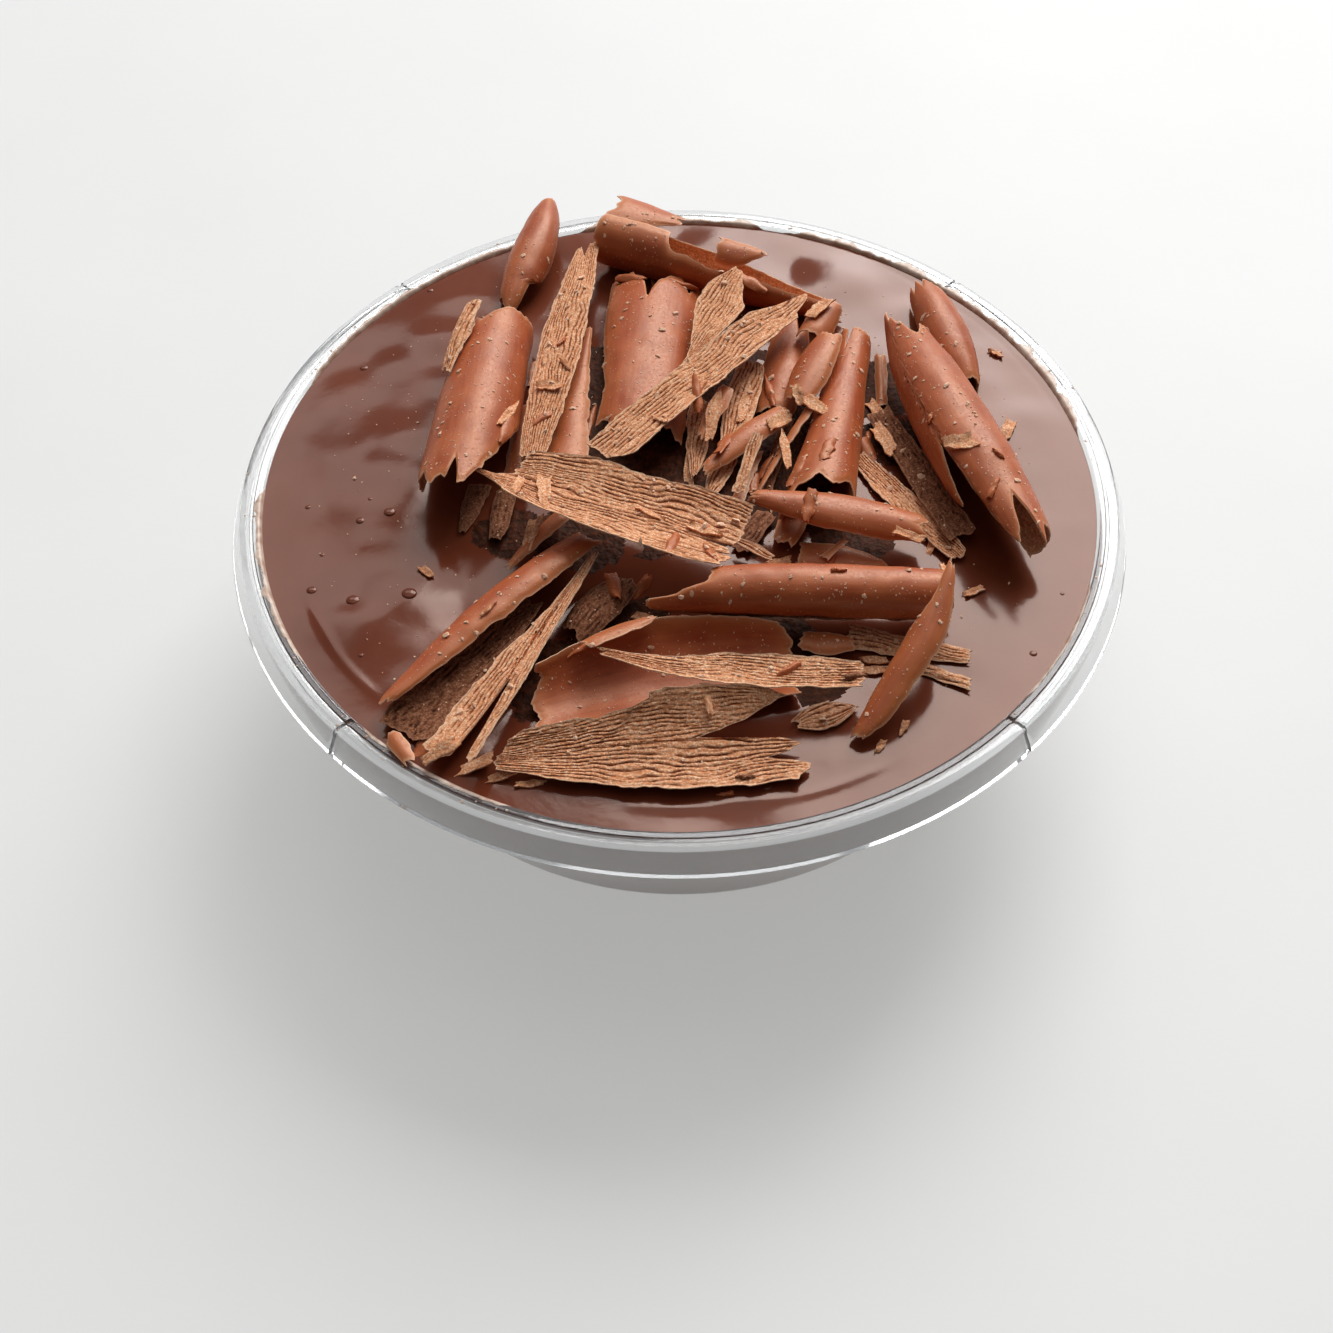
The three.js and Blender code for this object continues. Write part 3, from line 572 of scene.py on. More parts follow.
def smooth_chocolate():
    """The face that the blade polished: soft sheen, faint streaks lengthwise, fine dust, and a painted
    glow of light shining through its thin edges.
    """
    look = Look("smooth_chocolate")
    deep, pale, dust = (0.37, 0.06, 0.014), (0.51, 0.12, 0.034), (0.84, 0.5, 0.32)
    streaks = look.noise(look.sheet_place(0.12, 1.1))
    clouds = look.lumps(0.22)
    tone = look.plus(look.times(streaks, 0.5), look.times(clouds, 0.5))
    body = look.mix(look.ramp(tone, 0.35, 0.65), deep, pale)
    sockets = {"Vector": look.object_place(1.5), "Scale": 1.0}
    cells = look.node("ShaderNodeTexVoronoi", "Distance", sockets)
    patches = look.ramp(look.lumps(0.5, detail=1.0), 0.4, 0.55)
    specks = look.times(look.ramp(cells, 0.17, 0.11), patches)
    body = look.mix(look.times(specks, 0.75), body, dust)
    # Painted glow of light shining through the thin edges.
    body = look.mix(look.times(look.attribute("thin"), 0.55), body, THIN_EDGE_GLOW)
    body = look.mix(look.times(look.attribute("rim"), 0.6), body, dust)
    grain = look.lumps(2.6)
    relief = look.bump(streaks, 0.05, 0.6)
    relief = look.bump(grain, 0.03, 0.5, after=relief)
    relief = look.bump(specks, 0.12, 0.8, after=relief)
    return look.done(Base_Color=body, Roughness=look.ramp(grain, 0.3, 0.7, 0.38, 0.54), Normal=relief,
                     Specular_IOR_Level=0.85, Specular_Tint=WARM_SHEEN, Subsurface_Weight=0.12,
                     Subsurface_Radius=(1.0, 0.35, 0.15), Subsurface_Scale=0.0012)


def ribbed_chocolate(name, groove_shade, ridge, crumb):
    """The face that broke away: ridges full of bright grains, with painted shade darkening the grooves
    between them and painted light on one flank of each rib.
    """
    look = Look(name)
    grain = look.lumps(3.6, detail=4.0, roughness=0.65)
    broken = look.noise(look.sheet_place(0.9, 2.2), detail=2.0)
    # Dark in the grooves and pale up each rib's lit flank: painted shade and painted light.
    level = look.plus(look.attribute("ridge"), look.ramp(broken, 0.3, 0.7, -0.12, 0.12))
    body = look.mix(look.ramp(level, 0.15, 0.68), groove_shade, ridge)
    bright = look.times(look.ramp(grain, 0.45, 0.6), look.ramp(level, 0.35, 0.85, 0.15, 0.95))
    body = look.mix(bright, body, crumb)
    body = look.mix(look.times(look.attribute("rim"), 0.5), body, crumb)
    relief = look.bump(broken, 0.1, 0.6)
    relief = look.bump(grain, 0.14, 0.9, after=relief)
    return look.done(Base_Color=body, Roughness=look.ramp(grain, 0.3, 0.7, 0.68, 0.88), Normal=relief,
                     Specular_IOR_Level=0.15, Specular_Tint=WARM_SHEEN)


def sauce_look():
    look = Look("sauce")
    body = look.mix(look.ramp(look.lumps(0.06), 0.35, 0.65), (0.135, 0.03, 0.013), (0.175, 0.042, 0.019))
    film = look.noise(look.object_place(0.2, 0.08, 0.2), detail=4.0)
    ripple = look.bump(look.lumps(0.9), 0.03, 0.3)
    return look.done(Base_Color=body, Roughness=look.ramp(film, 0.4, 0.65, 0.11, 0.17), Normal=ripple,
                     Specular_IOR_Level=0.42, Specular_Tint=WET_SHEEN)


def rough_shaded_sauce_look():
    """The sauce under the heap: rough like sauce with wet crumbs in it, and darkened with painted shade.
    """
    look = Look("rough_shaded_sauce")
    lumps = look.lumps(1.1)
    # Painted shade: a much darker brown than the open sauce.
    body = look.mix(look.ramp(lumps, 0.4, 0.65), (0.035, 0.008, 0.003), (0.09, 0.022, 0.009))
    return look.done(Base_Color=body, Roughness=0.55, Normal=look.bump(lumps, 0.5, 0.7),
                     Specular_IOR_Level=0.12, Specular_Tint=WARM_SHEEN)


def clear_plastic():
    look = Look("clear_plastic")
    flow = look.bump(look.lumps(0.05, detail=2.0), 0.3, 0.05)
    haze = look.ramp(look.lumps(1.5, detail=2.0), 0.3, 0.7, 0.02, 0.05)
    return look.done(Base_Color=(0.975, 0.985, 0.985), Normal=flow, Roughness=haze,
                     Transmission_Weight=0.9, IOR=1.5)


def film_look():
    look = Look("sauce_film")
    clouds = look.lumps(0.8)
    body = look.mix(look.ramp(clouds, 0.35, 0.65), (0.48, 0.3, 0.21), (0.76, 0.61, 0.5))
    return look.done(Base_Color=body, Roughness=0.35, Normal=look.bump(clouds, 0.1, 0.5))


def floor_look():
    """White, and lit from below too, like a light table, so that the cup's shadow stays soft."""
    look = Look("floor")
    mottle = look.lumps(0.02, detail=4.0)
    body = look.mix(look.ramp(mottle, 0.3, 0.7), (0.44, 0.44, 0.436), (0.465, 0.465, 0.46))
    return look.done(Base_Color=body, Roughness=0.6, Normal=look.bump(look.lumps(1.0), 0.05, 0.2),
                     Emission_Color=(1.0, 1.0, 0.98), Emission_Strength=0.38)


SMOOTH = smooth_chocolate()
RIBBED = ribbed_chocolate("ribbed_chocolate", (0.2, 0.042, 0.01), (0.74, 0.29, 0.125),
                          (1.0, 0.7, 0.47))
# A darker copy of the ribbed look for pieces that lie in shade: its darkness is painted shade.
SHADED_CHOCOLATE = ribbed_chocolate("dull_chocolate", (0.045, 0.01, 0.004), (0.2, 0.066, 0.03),
                        (0.44, 0.21, 0.12))
CRUMBLED = ribbed_chocolate("crumbled_chocolate", (0.5, 0.22, 0.11), (0.85, 0.5, 0.32),
                            (0.95, 0.72, 0.54))
FACE_LOOKS = {"smooth": SMOOTH, "ribbed": RIBBED, "dull": SHADED_CHOCOLATE}
SAUCE = sauce_look()
ROUGH_SHADED_SAUCE = rough_shaded_sauce_look()
CLEAR = clear_plastic()
FILM = film_look()

# --- Cup and sauce ---


def bowl_section(offset, height):
    """The bowl's section from the axis up to a height, moved out from the
    inner face by an offset: (radius, height) pairs."""
    rounding = BASE_ROUNDING + offset
    centre_height = WALL_THICKNESS + BASE_ROUNDING
    wall_rise = CUP_HEIGHT - centre_height + BASE_ROUNDING * math.sin(WALL_LEAN)
    centre_radius = MOUTH_RADIUS - BASE_ROUNDING * math.cos(WALL_LEAN) - wall_rise * math.tan(WALL_LEAN)
    points = [(0.0, centre_height - rounding)]
    for i in range(ROUNDING_STEPS + 1):
        angle = -math.pi / 2 + (i / ROUNDING_STEPS) * (math.pi / 2 - WALL_LEAN)
        points.append((centre_radius + rounding * math.cos(angle),
                       centre_height + rounding * math.sin(angle)))
    top_radius = points[-1][0] + (height - points[-1][1]) * math.tan(WALL_LEAN)
    return [*points, (top_radius, height)]


def lathed(section, angles):
    """Points and quads of a section turned round the axis, closed on itself."""
    radius, height = np.asarray(section).T
    x = np.cos(angles)[:, None] * radius
    y = np.sin(angles)[:, None] * radius
    points = np.stack([x, y, np.broadcast_to(height, x.shape)], axis=-1)
    turn = np.arange(len(angles))[:, None] * len(section)
    after = np.roll(turn, -1)
    place = np.arange(len(section) - 1)[None, :]
    corners = (turn + place, after + place, after + place + 1, turn + place + 1)
    return points, np.stack([corner.ravel() for corner in corners], axis=1)


def cup_section():
    """The cup's section in three runs: the underside, the flange with the
    skirt's outside, and the inside down to the axis."""
    top, under, skirt_end = CUP_HEIGHT, CUP_HEIGHT - FLANGE_THICKNESS, CUP_HEIGHT - SKIRT_DEPTH
    mouth, edge, skirt = MOUTH_RADIUS, FLANGE_RADIUS, SKIRT_RADIUS
    underside = [
        *bowl_section(WALL_THICKNESS, under - 0.6),
        (mouth + 0.75, under - 0.15),
        (mouth + 1.15, under),
        (edge - WALL_THICKNESS - 0.4, under),
        (edge - WALL_THICKNESS, under - 0.4),
        (skirt - WALL_THICKNESS, skirt_end + 0.1),
        (skirt - WALL_THICKNESS + 0.1, skirt_end),
        (skirt - 0.12, skirt_end),
    ]
    flange = [
        (skirt, skirt_end + 0.12),
        (skirt - 0.15, skirt_end + 0.6),
        (edge + 0.1, top - 1.1),
        (edge, top - CORNER_RADIUS),
        (edge - 0.15, top - 0.15),
        (edge - CORNER_RADIUS, top),
        (edge - 1.5, top),
        (edge - 1.65, top - GROOVE_DEPTH),
        (edge - 1.95, top - GROOVE_DEPTH),
        (edge - 2.1, top),
        (mouth + 0.3, top),
    ]
    inside = [(mouth + 0.05, top - 0.1), *bowl_section(0, top - 0.35)[::-1]]
    return underside, flange, inside


def cup_angles():
    """Even angles, and closer ones across each notch."""
    angles = list(np.radians(np.arange(0, 360, CUP_STEP)))
    for middle in NOTCH_ANGLES:
        for half_widths in (-1.4, -1.0, -0.7, -0.5, -0.25, 0, 0.25, 0.5, 0.7, 1.0, 1.4):
            angles.append(math.radians(middle) + half_widths * NOTCH_WIDTH / 2 / FLANGE_RADIUS)
    return np.array(sorted(set(np.round(angles, 6))))


def cup_piece():
    """The clear cup; its notches cut down into the flange and inwards into the skirt."""
    underside, flange, inside = cup_section()
    angles = cup_angles()
    points, faces = lathed([*underside, *flange, *inside], angles)
    for middle in NOTCH_ANGLES:
        off = np.abs((angles - math.radians(middle) + math.pi) % (2 * math.pi) - math.pi) * FLANGE_RADIUS
        depth = NOTCH_DEPTH * (1 - smoothstep((off / (NOTCH_WIDTH / 2) - 0.5) / 0.6))
        for i, (_, height) in enumerate(flange, len(underside)):
            if height > CUP_HEIGHT - 0.3:
                points[:, i, 2] -= depth
            else:
                outward = points[:, i, :2] / np.linalg.norm(points[:, i, :2], axis=1)[:, None]
                points[:, i, :2] -= outward * depth[:, None]
    piece = made("clear_cup", points.reshape(-1, 3), [faces], [CLEAR], sharp=35)
    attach(piece, "root")
    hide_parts("cup")


def sauce_relief(x, y):
    """The height of the sauce's mounds, waves and grooves, gone at the wall."""
    rise = np.zeros_like(x)
    for at_x, at_y, radius, height in MOUNDS:
        distance = np.hypot(x - at_x, y - at_y) / radius
        rise += height * np.exp(-distance * distance)
    rise += 0.12 * noise(x / 9, y / 9, 3) + 0.05 * noise(x / 3.5, y / 3.5, 4)
    # Stronger waves at the back right and on the left
    rise += 0.26 * noise(x / 5.5, y / 4.5, 9) * smoothstep((x + y - 34) / 16)
    left_waves = 0.2 * noise(x / 7, y / 5, 11) + 0.35 * noise(x / 13, y / 12, 17)
    rise += left_waves * smoothstep((-14 - x) / 12)
    reach = np.hypot(x, y)
    angle = np.degrees(np.arctan2(y, x)) % 360
    for first, last, radius, depth, half_width in CHANNELS:
        share = smoothstep((angle - first) / 5) * smoothstep((last - angle) / 5)
        off = (reach - radius - 0.3 * noise(angle / 9, 0, 6)) / half_width
        rise -= depth * share * np.exp(-off * off)
    return rise * np.maximum(0, 1 - (reach / MOUTH_RADIUS) ** 12)


def heap_shade_share(x, y):
    """1 where the sauce lies in the heap and takes the rough look darkened with painted shade, 0 where
    it is smooth and open.
    """
    share = np.zeros_like(x)
    for at_x, at_y, radius in HEAP_SHADE_SPOTS:
        distance = np.hypot(x - at_x, y - at_y) / radius
        share = np.maximum(share, 1 - smoothstep((distance + 0.15 * noise(x / 2, y / 2, 5) - 0.8) / 0.3))
    return share


def sauce_piece():
    """The sauce: a filled bowl whose top is closed by a fan at the middle."""
    level = SAUCE_LEVEL + SAUCE_LIFT
    base, *wall = bowl_section(INTO_WALL, level)
    edge = wall[-1][0]
    rings = [(edge * ring / SAUCE_RINGS, level) for ring in range(SAUCE_RINGS - 1, 0, -1)]
    section = [(AXIS_GAP, base[1]), *wall, *rings]
    angles = np.radians(np.arange(0, 360, SAUCE_STEP))
    points, faces = lathed(section, angles)
    points = points.reshape(-1, 3)
    x, y, height = points.T
    points[:, 2] = np.where(height > level - LEVEL_SLACK, level + sauce_relief(x, y), height)
    peak = level + sauce_relief(np.zeros(1), np.zeros(1))[0]
    points = np.vstack([points, [[0, 0, peak]]])
    innermost = np.arange(1, len(angles) + 1) * len(section) - 1
    middle = np.full(len(angles), len(points) - 1)
    cap = np.stack([innermost, np.roll(innermost, -1), middle], axis=1)
    # Under the heap the sauce takes the rough look, darkened with painted shade.
    share = heap_shade_share(points[:, 0], points[:, 1]) * (points[:, 2] > level - LEVEL_SLACK)
    in_heap_shade = np.concatenate([share[faces[:, 0]], share[cap[:, 0]]]) > 0.5
    piece = made("chocolate_sauce", points, [faces, cap], [SAUCE, ROUGH_SHADED_SAUCE],
                 face_materials=in_heap_shade, sharp=60)
    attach(piece, "root")
    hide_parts("sauce")
    return piece


# --- Curls ---


class Curl:
    """A sheet rolled round the line between its two ends. Places t run along
    it and v across it, each from 0 to 1."""

    def __init__(self, row, seed):
        for key, value in row.items():
            setattr(self, key, value)
        self.seed = seed
        self.first = np.array(self.start, float)
        self.run = np.array(self.end, float) - self.first
        self.length = math.hypot(self.run[0], self.run[1])
        self.aside = np.array([-self.run[1], self.run[0], 0]) / self.length
        # Torn ends stand out past both ends of the line
        self.reach = np.linspace(-0.3, 1.3, 161)
        self.middles = self.arc_middles()
        middle = np.array([0.5])
        self.width = float(self.radius(middle)[0] * np.radians(along(self.sweep, middle)[0]))
        self.hollow_up = abs((along(self.turn, middle)[0] + 180) % 360 - 180) > 90

    def radius(self, t):
        half = np.radians(np.minimum(along(self.sweep, t), 180) / 2)
        return along(self.across, t) / 2 / np.sin(half)

    def arc(self, t, v):
        """How far a place stands aside and up from the roll's axis."""
        sweep = np.radians(along(self.sweep, t))
        angle = np.radians(along(self.turn, t)) + (v - 0.5) * sweep
        radius = self.radius(t) + LAP_SPACING * (v - 0.5) * sweep / (2 * np.pi)
        return radius * np.sin(angle), radius * np.cos(angle)

    def arc_middles(self):
        """The middle of the roll's outline at places along it, aside and up."""
        aside, up = self.arc(self.reach[:, None], np.linspace(0, 1, 25)[None, :])
        return (aside.min(1) + aside.max(1)) / 2, (up.min(1) + up.max(1)) / 2

    def points(self, t, v):
        arch = 4 * t * (1 - t)
        aside, up = self.arc(t, v)
        middle_aside = np.interp(t, self.reach, self.middles[0])
        middle_up = np.interp(t, self.reach, self.middles[1])
        places = self.first + self.run * t[..., None]
        places = places + self.aside * (aside - middle_aside + self.sway * arch)[..., None]
        places[..., 2] += up - middle_up + self.bow * arch + SAUCE_LEVEL
        return places

    def torn_end(self, v, knots, seed):
        """How far a torn end stands out at a place across it."""
        across = v * self.width
        if knots:
            edge = profile(knots, v)
            edge += 0.3 * noise(across / 1.1, 0, seed + 7)
        else:
            place = np.clip(v, 0, 1) * TEETH
            tooth = np.minimum(np.floor(place), TEETH - 1)
            before, after = scatter(seed, tooth), scatter(seed, tooth + 1)
            edge = (before + (after - before) * (place - tooth) - 0.5) * self.ragged
            edge += 0.4 * self.ragged * noise(across / 1.1, 0, seed + 7)
        return edge + 0.22 * noise(across / 0.4, 0, seed + 8)

    def worn_side(self, u, seed):
        """How far a side is worn away, as a share of the width."""
        place = u * self.length
        worn = 0.22 * noise(place / 3.0, 0, seed + 11)
        worn += 0.12 * noise(place / 0.8, 0, seed + 12) + 0.1
        return worn / max(self.width, 2)

    def tear(self, side, v):
        """How deep the tears cut into one end at each place across it."""
        depth = np.zeros_like(v)
        for end, place, deep, half_width in self.tears:
            if end == side:
                off = np.abs(v - place) * self.width / half_width
                depth = np.maximum(depth, deep * np.clip(1 - off, 0, 1) ** 0.8)
        return depth

    def grid(self, step):
        """The sheet's places t and v, and how far each is from the edge."""
        rows = max(8, int(self.length / step[0]) + 1)
        columns = max(8, int(self.width / step[1]) + 1)
        u, v = grid_places(rows, columns)
        low = self.worn_side(u, self.seed) + profile(self.low, u, otherwise=0)
        high = profile(self.high, u, otherwise=1) - self.worn_side(u, self.seed + SIDE_SEED)
        v = low + (high - low) * v
        first = (self.torn_end(v, self.head, self.seed) + self.tear("start", v)) / self.length
        last = self.torn_end(v, self.tail, self.seed + END_SEED) - self.tear("end", v)
        last = 1 + last / self.length
        t = first + (last - first) * u
        inset = np.minimum.reduce([(t - first) * self.length, (last - t) * self.length,
                                   (v - low) * self.width, (high - v) * self.width])
        return t, v, inset

    def ribs(self, s, w):
        """The broken face's relief at places in millimetres, from 0 in the grooves to 1 on the ridges.
        The same values colour the face: painted shade in the grooves, painted light rising up each rib's
        lit flank."""
        phase = w / self.rib + 1.2 * noise(s / 8, w / 3, self.seed)
        phase += 0.45 * noise(s / 2.2, w / 1.2, self.seed + 1)
        phase -= np.floor(phase)
        groove_shade = np.exp(-(((phase - 0.5) / 0.15) ** 2))
        fade = smoothstep(0.75 + noise(s / 4, w / 1.8, self.seed + 4))
        depth = (0.25 + 0.75 * fade) * (0.85 + 0.4 * noise(s / 1.5, w / 0.7, self.seed + 2))
        # Each rib rises towards its lit flank, which the colour paints lighter: painted light.
        rise = (phase + 0.5) % 1.0
        chips = 0.28 * noise(s / 0.45, w / 0.22, self.seed + 3)
        return np.clip(0.55 + 0.35 * rise - 0.75 * groove_shade * depth + chips, 0, 1)

    def centre_sheet(self, t, v, s, w):
        """The sheet's middle, slightly wavy, and the way out of it."""
        middle = self.points(t, v)
        outward = np.cross(np.gradient(middle, axis=0), np.gradient(middle, axis=1))
        outward /= np.maximum(np.linalg.norm(outward, axis=-1, keepdims=True), 1e-9)
        wave = 0.16 * noise(s / 6, w / 4, self.seed + 20) + 0.06 * noise(s / 2, w / 2, self.seed + 21)
        return middle + outward * wave[..., None], outward

    def piece(self):
        fine = self.face == "ribbed"
        # Shavings show their ribs upwards; rolls hide them, unless the inside is polished
        ribs_outside = self.polished == "inside" or (fine and not self.hollow_up)
        t, v, inset = self.grid(FINE_STEP if fine else PLAIN_STEP)
        s, w = t * self.length, v * self.width
        middle, outward = self.centre_sheet(t, v, s, w)
        half = (EDGE_THICKNESS + (SHEET_THICKNESS - EDGE_THICKNESS) * smoothstep(inset / EDGE_TAPER)) / 2
        ribs = np.full_like(t, PLAIN_RIDGE)
        cut = 0
        if self.face != "smooth":
            ribs = self.ribs(s, w)
            cut = RIB_DEPTH * (ribs - 1) * smoothstep(inset / 0.6)
        outer = middle + outward * (half + cut * ribs_outside)[..., None]
        inner = middle - outward * (half + cut * (not ribs_outside))[..., None]
        points, faces = thin_body(outer, inner)
        side = (t.shape[0] - 1) * (t.shape[1] - 1)
        broken = np.repeat([ribs_outside, not ribs_outside, True], [side, side, len(faces) - 2 * side])
        uv = np.stack([s, w], axis=-1).reshape(-1, 2) / UV_SPAN
        # ridge carries painted shade in the grooves and painted light on the ribs' lit flanks; thin
        # carries the painted glow at thin edges.
        values = {"ridge": ribs, "rim": np.exp(-(inset / RIM_REACH) ** 2),
                  "thin": np.exp(-(inset / THIN_REACH) ** 2)}
        values = {key: np.tile(value.ravel(), 2) for key, value in values.items()}
        # Pieces that lie in shade take the darker look on both faces: painted shade.
        looks = [SHADED_CHOCOLATE, SHADED_CHOCOLATE] if self.face == "dull" else [SMOOTH, RIBBED]
        piece = made(self.name + "_sheet", points, [faces], looks, broken, np.tile(uv, (2, 1)), values)
        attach(piece, "root")
        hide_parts(self.name)
        return piece


# --- Small things ---


class Heap:
    """Finds what lies on top at any place of the finished heap."""

    def __init__(self, pieces):
        graph = bpy.context.evaluated_depsgraph_get()
        self.trees = [(piece.name, BVHTree.FromObject(piece, graph)) for piece in pieces]

    def top(self, x, y):
        """The top's height, its normal and the piece's name."""
        best = None
        for name, tree in self.trees:
            hit, normal, _, _ = tree.ray_cast(Vector((x * MM, y * MM, RAY_START)), Vector((0, 0, -1)))
            if hit is not None and (best is None or hit.z / MM > best[0]):
                best = (hit.z / MM, np.array(normal if normal.z > 0 else -normal), name)
        return best


class Batch:
    """Many small bodies gathered into one mesh."""

    def __init__(self):
        self.points, self.faces, self.looks, self.values = [], [], [], []
        self.count = 0

    def add(self, points, faces, look=0, ridge=0.5, thin=0.0):
        """One more body: its look's number, and its values for the materials."""
        self.points.append(points)
        self.faces.append(faces + self.count)
        self.looks.append(np.broadcast_to(look, len(faces)))
        self.values.append([np.broadcast_to(ridge, len(points)), np.broadcast_to(thin, len(points))])
        self.count += len(points)

    def piece(self, name, materials, slot, sharp=40):
        ridge, thin = np.concatenate(self.values, axis=1)
        points = np.concatenate(self.points)
        body = made(name, points, self.faces, materials,
                    face_materials=np.concatenate(self.looks), uvs=points[:, :2] / UV_SPAN,
                    values={"ridge": ridge, "rim": 0 * ridge, "thin": thin}, sharp=sharp)
        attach(body, "root")
        return body


def ball(subdivisions):
    """A round body a millimetre in radius: its points and triangles."""
    mesh = bmesh.new()
    bmesh.ops.create_icosphere(mesh, subdivisions=subdivisions, radius=1)
    points = np.array([vertex.co for vertex in mesh.verts])
    faces = np.array([[vertex.index for vertex in face.verts] for face in mesh.faces])
    mesh.free()
    return points, faces


def flakes_piece(heap):
    """Thin torn flakes, each laid over what is under it."""
    batch = Batch()
    u, v = grid_places(FLAKE_ROWS, FLAKE_COLUMNS, first=-1)
    half_thickness = 0.12 + 0.16 * (1 - np.maximum(np.abs(u), np.abs(v)) ** 4)
    up = half_thickness[..., None] * np.array([0, 0, 1])
    for i, (x, y, heading, length, width, *other) in enumerate(FLAKES):
        face = other[0] if other else "ribbed"
        place = np.array([x, y])
        turn = math.radians(heading)
        ahead = np.array([math.cos(turn), math.sin(turn)])
        aside = np.array([-ahead[1], ahead[0]])
        # Its lean follows the heights under its middle, near its ends and near its sides
        near = 0.8
        spots = [place + ahead * a * length / 2 + aside * b * width / 2
                 for a, b in ((0, 0), (-near, 0), (near, 0), (0, -near), (0, near))]
        levels = [heap.top(*spot)[0] for spot in spots]
        base, back, front, right, left = np.maximum(levels, levels[0] - DEEPEST_SAG * length)
        rise = np.clip((front - back) / (near * length), -STEEPEST_LEAN, STEEPEST_LEAN)
        lean = np.clip((left - right) / (near * width), -STEEPEST_LEAN, STEEPEST_LEAN)
        taper = 0.85 - 0.45 * scatter(i, 1) * np.abs(u) ** 1.5 + 0.2 * scatter(i, 3) * u
        taper -= 0.6 * smoothstep((length / width - 2.5) / 1.5) * np.maximum(u, 0) ** 1.5
        slant = (scatter(i, 4) - 0.5) * v * width / length
        a = (u + slant + 0.16 * noise(v * 2.3, u * 0.6, 70 + i)) * length / 2
        b = (v * taper + 0.2 * noise(u * 3, v * 0.7, 60 + i)) * width / 2
        curve = (0.25 + 0.5 * scatter(i, 2)) * (v * v) * width / 2 * (1 if face == "ribbed" else -1)
        lift = base + FLAKE_LIFT + rise * a + lean * b + curve * 0.5 + 0.15 * noise(u * 2, v, 80 + i)
        flat = place + ahead * a[..., None] + aside * b[..., None]
        middle = np.concatenate([flat, lift[..., None]], axis=-1)
        stripes = 0.75 + 0.35 * noise(b.ravel() / 0.35, a.ravel() / 2, i)
        ridge = np.tile(stripes, 2) if face != "smooth" else 0.6
        look = list(FACE_LOOKS).index(face)
        # A flake is thin all over, so it takes part of the painted glow of light shining through.
        batch.add(*thin_body(middle + up, middle - up, flip=True), look, ridge, thin=0.4)
    return batch.piece("chocolate_flakes", [*FACE_LOOKS.values()], "ribbed_chocolate", sharp=35)


def crumbs_piece(heap):
    """Crumbs and dust of the broken chocolate, thickest on the heap."""
    batch = Batch()
    rng = np.random.default_rng(CRUMB_SEED)
    for tries, smallest, largest, on_sauce in CRUMBS:
        shape, faces = ball(1 if largest < DUST_SIZE else 2)
        for _ in range(tries):
            angle, reach = rng.uniform(0, 2 * math.pi), CRUMB_REACH * math.sqrt(rng.uniform())
            x, y = reach * math.cos(angle), reach * math.sin(angle)
            half, turn, keep = rng.uniform(smallest, largest), rng.uniform(0, math.pi), rng.uniform()
            sizes = np.array([1, rng.uniform(0.45, 0.9), rng.uniform(0.35, 0.6)]) * half
            jitter = 1 + 0.3 * rng.uniform(-1, 1, len(shape))
            level, normal, name = heap.top(x, y)
            if keep > (on_sauce if name == "chocolate_sauce" else 1) or normal[2] < STEEPEST_SIDE:
                continue
            body = shape * jitter[:, None] * sizes
            body = np.stack([body[:, 0] * math.cos(turn) - body[:, 1] * math.sin(turn),
                             body[:, 0] * math.sin(turn) + body[:, 1] * math.cos(turn),
                             body[:, 2]], axis=1)
            body[:, 2] -= (body[:, :2] @ normal[:2]) / normal[2]
            body += np.array([x, y, level + 0.3 * sizes[2]])
            batch.add(body, faces, ridge=rng.uniform(0.55, 1.0))
    return batch.piece("chocolate_crumbs", [CRUMBLED], "ribbed_chocolate", sharp=30)


def bubbles_piece(heap):
    """Low domes where bubbles stand in the sauce."""
    batch = Batch()
    shape, faces = ball(4)
    for x, y, radius in BUBBLES:
        place = np.array([x, y, heap.top(x, y)[0]])
        batch.add(shape * np.array([radius, radius * 0.9, radius * 0.3]) + place, faces)
    return batch.piece("sauce_bubbles", [SAUCE], "sauce", sharp=80)


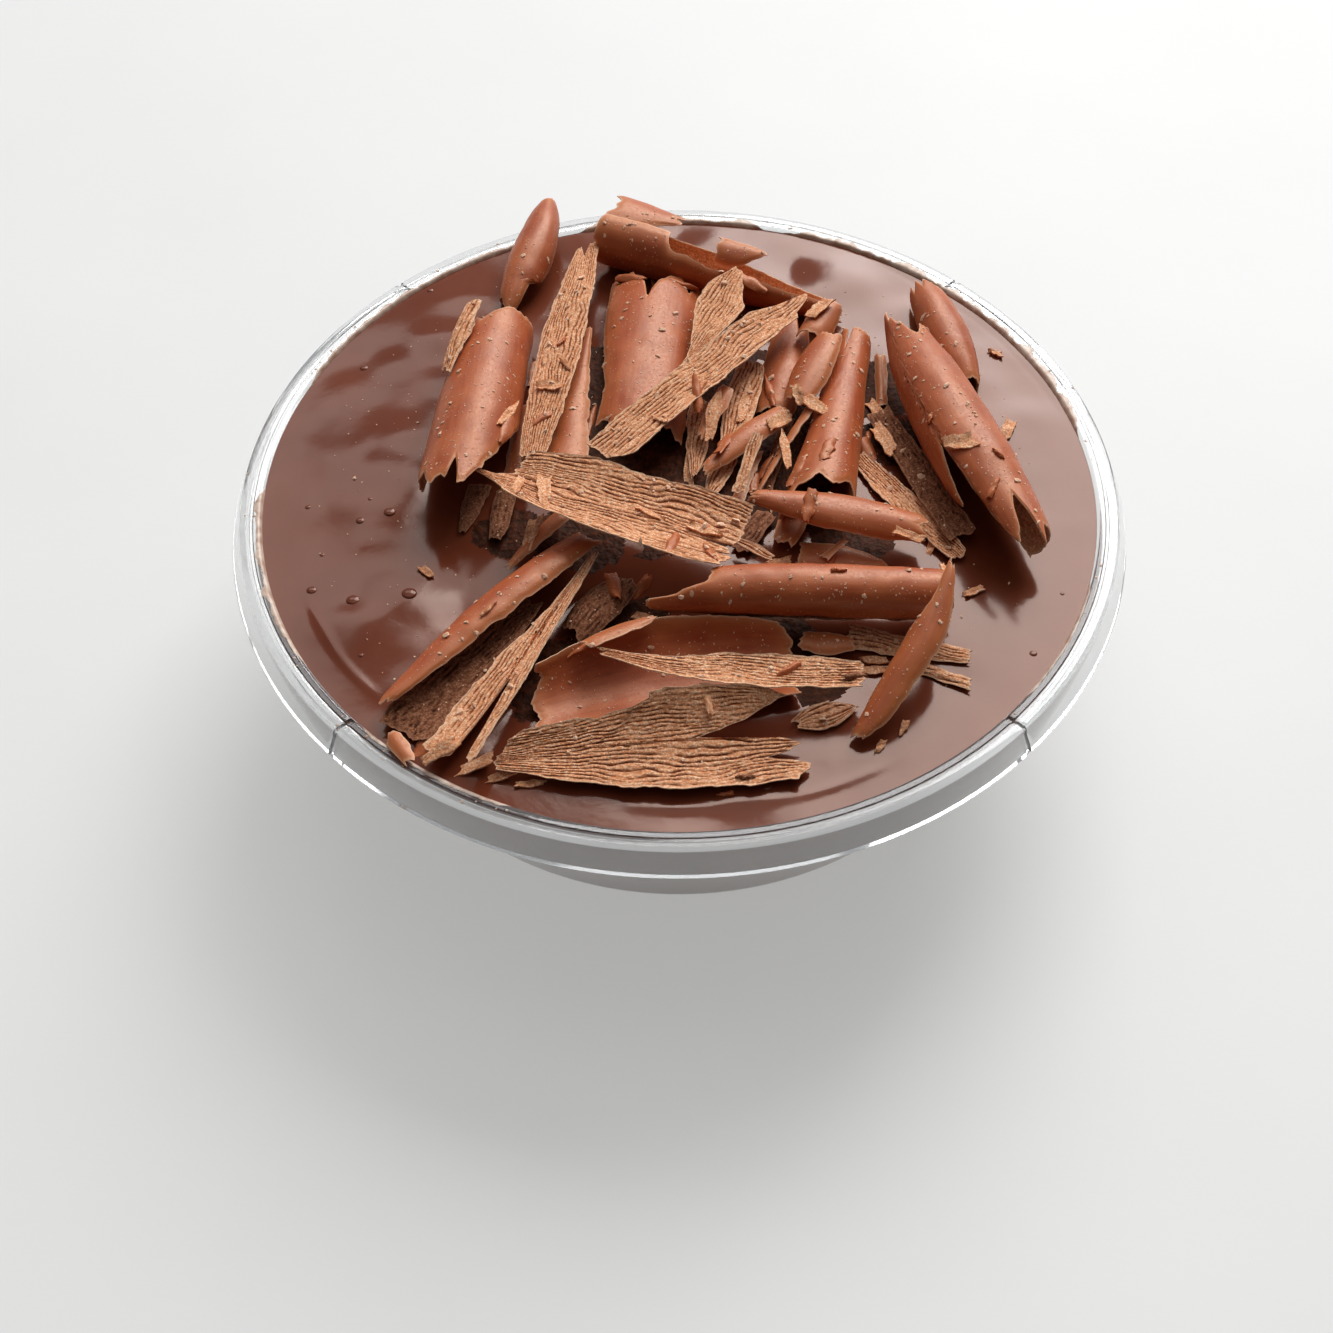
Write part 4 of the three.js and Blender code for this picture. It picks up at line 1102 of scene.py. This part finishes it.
def film_piece():
    """The film and the drops of sauce on the mouth's edge and the flange."""
    batch = Batch()
    mouth, top = MOUTH_RADIUS, CUP_HEIGHT
    edge_radius = [mouth - 0.7, mouth - 0.13, mouth + 0.05, mouth + 0.3]
    edge_height = [top - 1.9, top - 0.35, top - 0.1, top]
    for i, (first, last, reach) in enumerate(SMEARS):
        rows = int((last - first) / SMEAR_STEP)
        share, across = grid_places(rows, SMEAR_COLUMNS)
        angle = first + (last - first) * share
        ends = smoothstep(share / 0.12) * smoothstep((1 - share) / 0.12)
        lobes = 0.55 + 0.45 * noise(angle / 2.3, 0, i) + 0.25 * noise(angle / 0.7, 0, i + 9)
        outer = mouth - 0.2 + ends * (0.3 + reach * np.maximum(0, lobes))
        radius = mouth - 0.5 + (outer - mouth + 0.5) * across
        height = np.interp(radius, edge_radius, edge_height)
        swell = 0.03 + 0.1 * (1 - across ** 4) * (0.7 + 0.3 * noise(angle, across * 2, i + 20))
        x, y = np.cos(np.radians(angle)) * radius, np.sin(np.radians(angle)) * radius
        upper = np.stack([x, y, height + swell], axis=-1)
        lower = np.stack([x, y, height - 0.03], axis=-1)
        batch.add(*thin_body(upper, lower, flip=True))
    rng = np.random.default_rng(DROP_SEED)
    shape, faces = ball(2)
    for _ in range(DROPS):
        first, last, _ = SMEARS[rng.integers(len(SMEARS))]
        angle = math.radians(rng.uniform(first - 4, last + 4))
        radius = mouth + 0.4 + rng.uniform() ** 2 * 2.2
        size = rng.uniform(0.08, 0.24)
        place = np.array([math.cos(angle) * radius, math.sin(angle) * radius, top])
        batch.add(shape * np.array([size, size, size * 0.5]) + place, faces)
    return batch.piece("sauce_film", [FILM], "sauce")


# --- Floor, lights and camera ---


def floor():
    mesh = bpy.data.meshes.new("floor")
    corners = [(-1, -1), (1, -1), (1, 1), (-1, 1)]
    mesh.from_pydata([(x * FLOOR_SPAN, y * FLOOR_SPAN, 0) for x, y in corners], [], [(0, 1, 2, 3)])
    mesh.materials.append(floor_look())
    piece = bpy.data.objects.new("floor", mesh)
    bpy.context.scene.collection.objects.link(piece)
    piece.location.z = -FLOOR_GAP


def panel(name, place, aim, size, power):
    """A soft rectangular light; place, aim and size in metres, power in watts."""
    light = bpy.data.lights.new(name, "AREA")
    light.shape = "RECTANGLE"
    light.size, light.size_y = size
    light.energy = power
    lamp = bpy.data.objects.new(name, light)
    lamp.location = place
    lamp.rotation_euler = (Vector(aim) - Vector(place)).to_track_quat("-Z", "Y").to_euler()
    bpy.context.scene.collection.objects.link(lamp)


def lights():
    panel("window", (0.4, 0.99, 0.98), (0, 0, 0.03), (0.9, 1.0), 21.0)
    panel("ceiling", (-0.1, 0.25, 1.5), (0, 0, 0), (0.9, 0.8), 1.5)
    panel("side_window", (-0.32, 0.94, 1.05), (0, 0, 0.03), (0.5, 0.42), 1.5)
    # A pale room, brighter behind than overhead and in front
    world = bpy.data.worlds.new("studio")
    world.use_nodes = True
    room = Nodes(world.node_tree)
    place = room.node("ShaderNodeTexCoord", "Generated", {})
    facing = room.node("ShaderNodeVectorMath", "Value", {0: place, 1: (0, 0.7, 0.65)},
                       operation="DOT_PRODUCT")
    strength = room.ramp(facing, -0.15, 1.0, 0.03, 0.38)
    room.fill(world.node_tree.nodes["Background"], {"Color": (0.95, 0.97, 1.0), "Strength": strength})
    bpy.context.scene.world = world


def camera():
    """A long lens about 25 cm from the cup's rim, looking down at it from the front."""
    view = bpy.data.cameras.new("camera")
    view.lens = LENS
    view.sensor_width = SENSOR_WIDTH
    view.clip_start = 0.01
    forward = Vector(CAMERA_AIM).normalized()
    level = forward.cross(Vector((0, 0, 1))).normalized()
    right = Matrix.Rotation(-CAMERA_ROLL, 3, forward) @ level
    up = right.cross(forward)
    turn = Matrix((right, up, -forward)).transposed().to_4x4()
    eye = bpy.data.objects.new("camera", view)
    eye.matrix_world = Matrix.Translation(Vector(CAMERA_PLACE) * MM) @ turn
    bpy.context.scene.collection.objects.link(eye)
    bpy.context.scene.camera = eye


cup_piece()
sauce = sauce_piece()
sheets = [Curl(row, i + 1).piece() for i, row in enumerate(CURLS)]
flakes = flakes_piece(Heap([sauce, *sheets]))
crumbs_piece(Heap([sauce, flakes, *sheets]))
bubbles_piece(Heap([sauce]))
film_piece()
floor()
lights()
camera()
bpy.context.scene.view_settings.view_transform = "Standard"
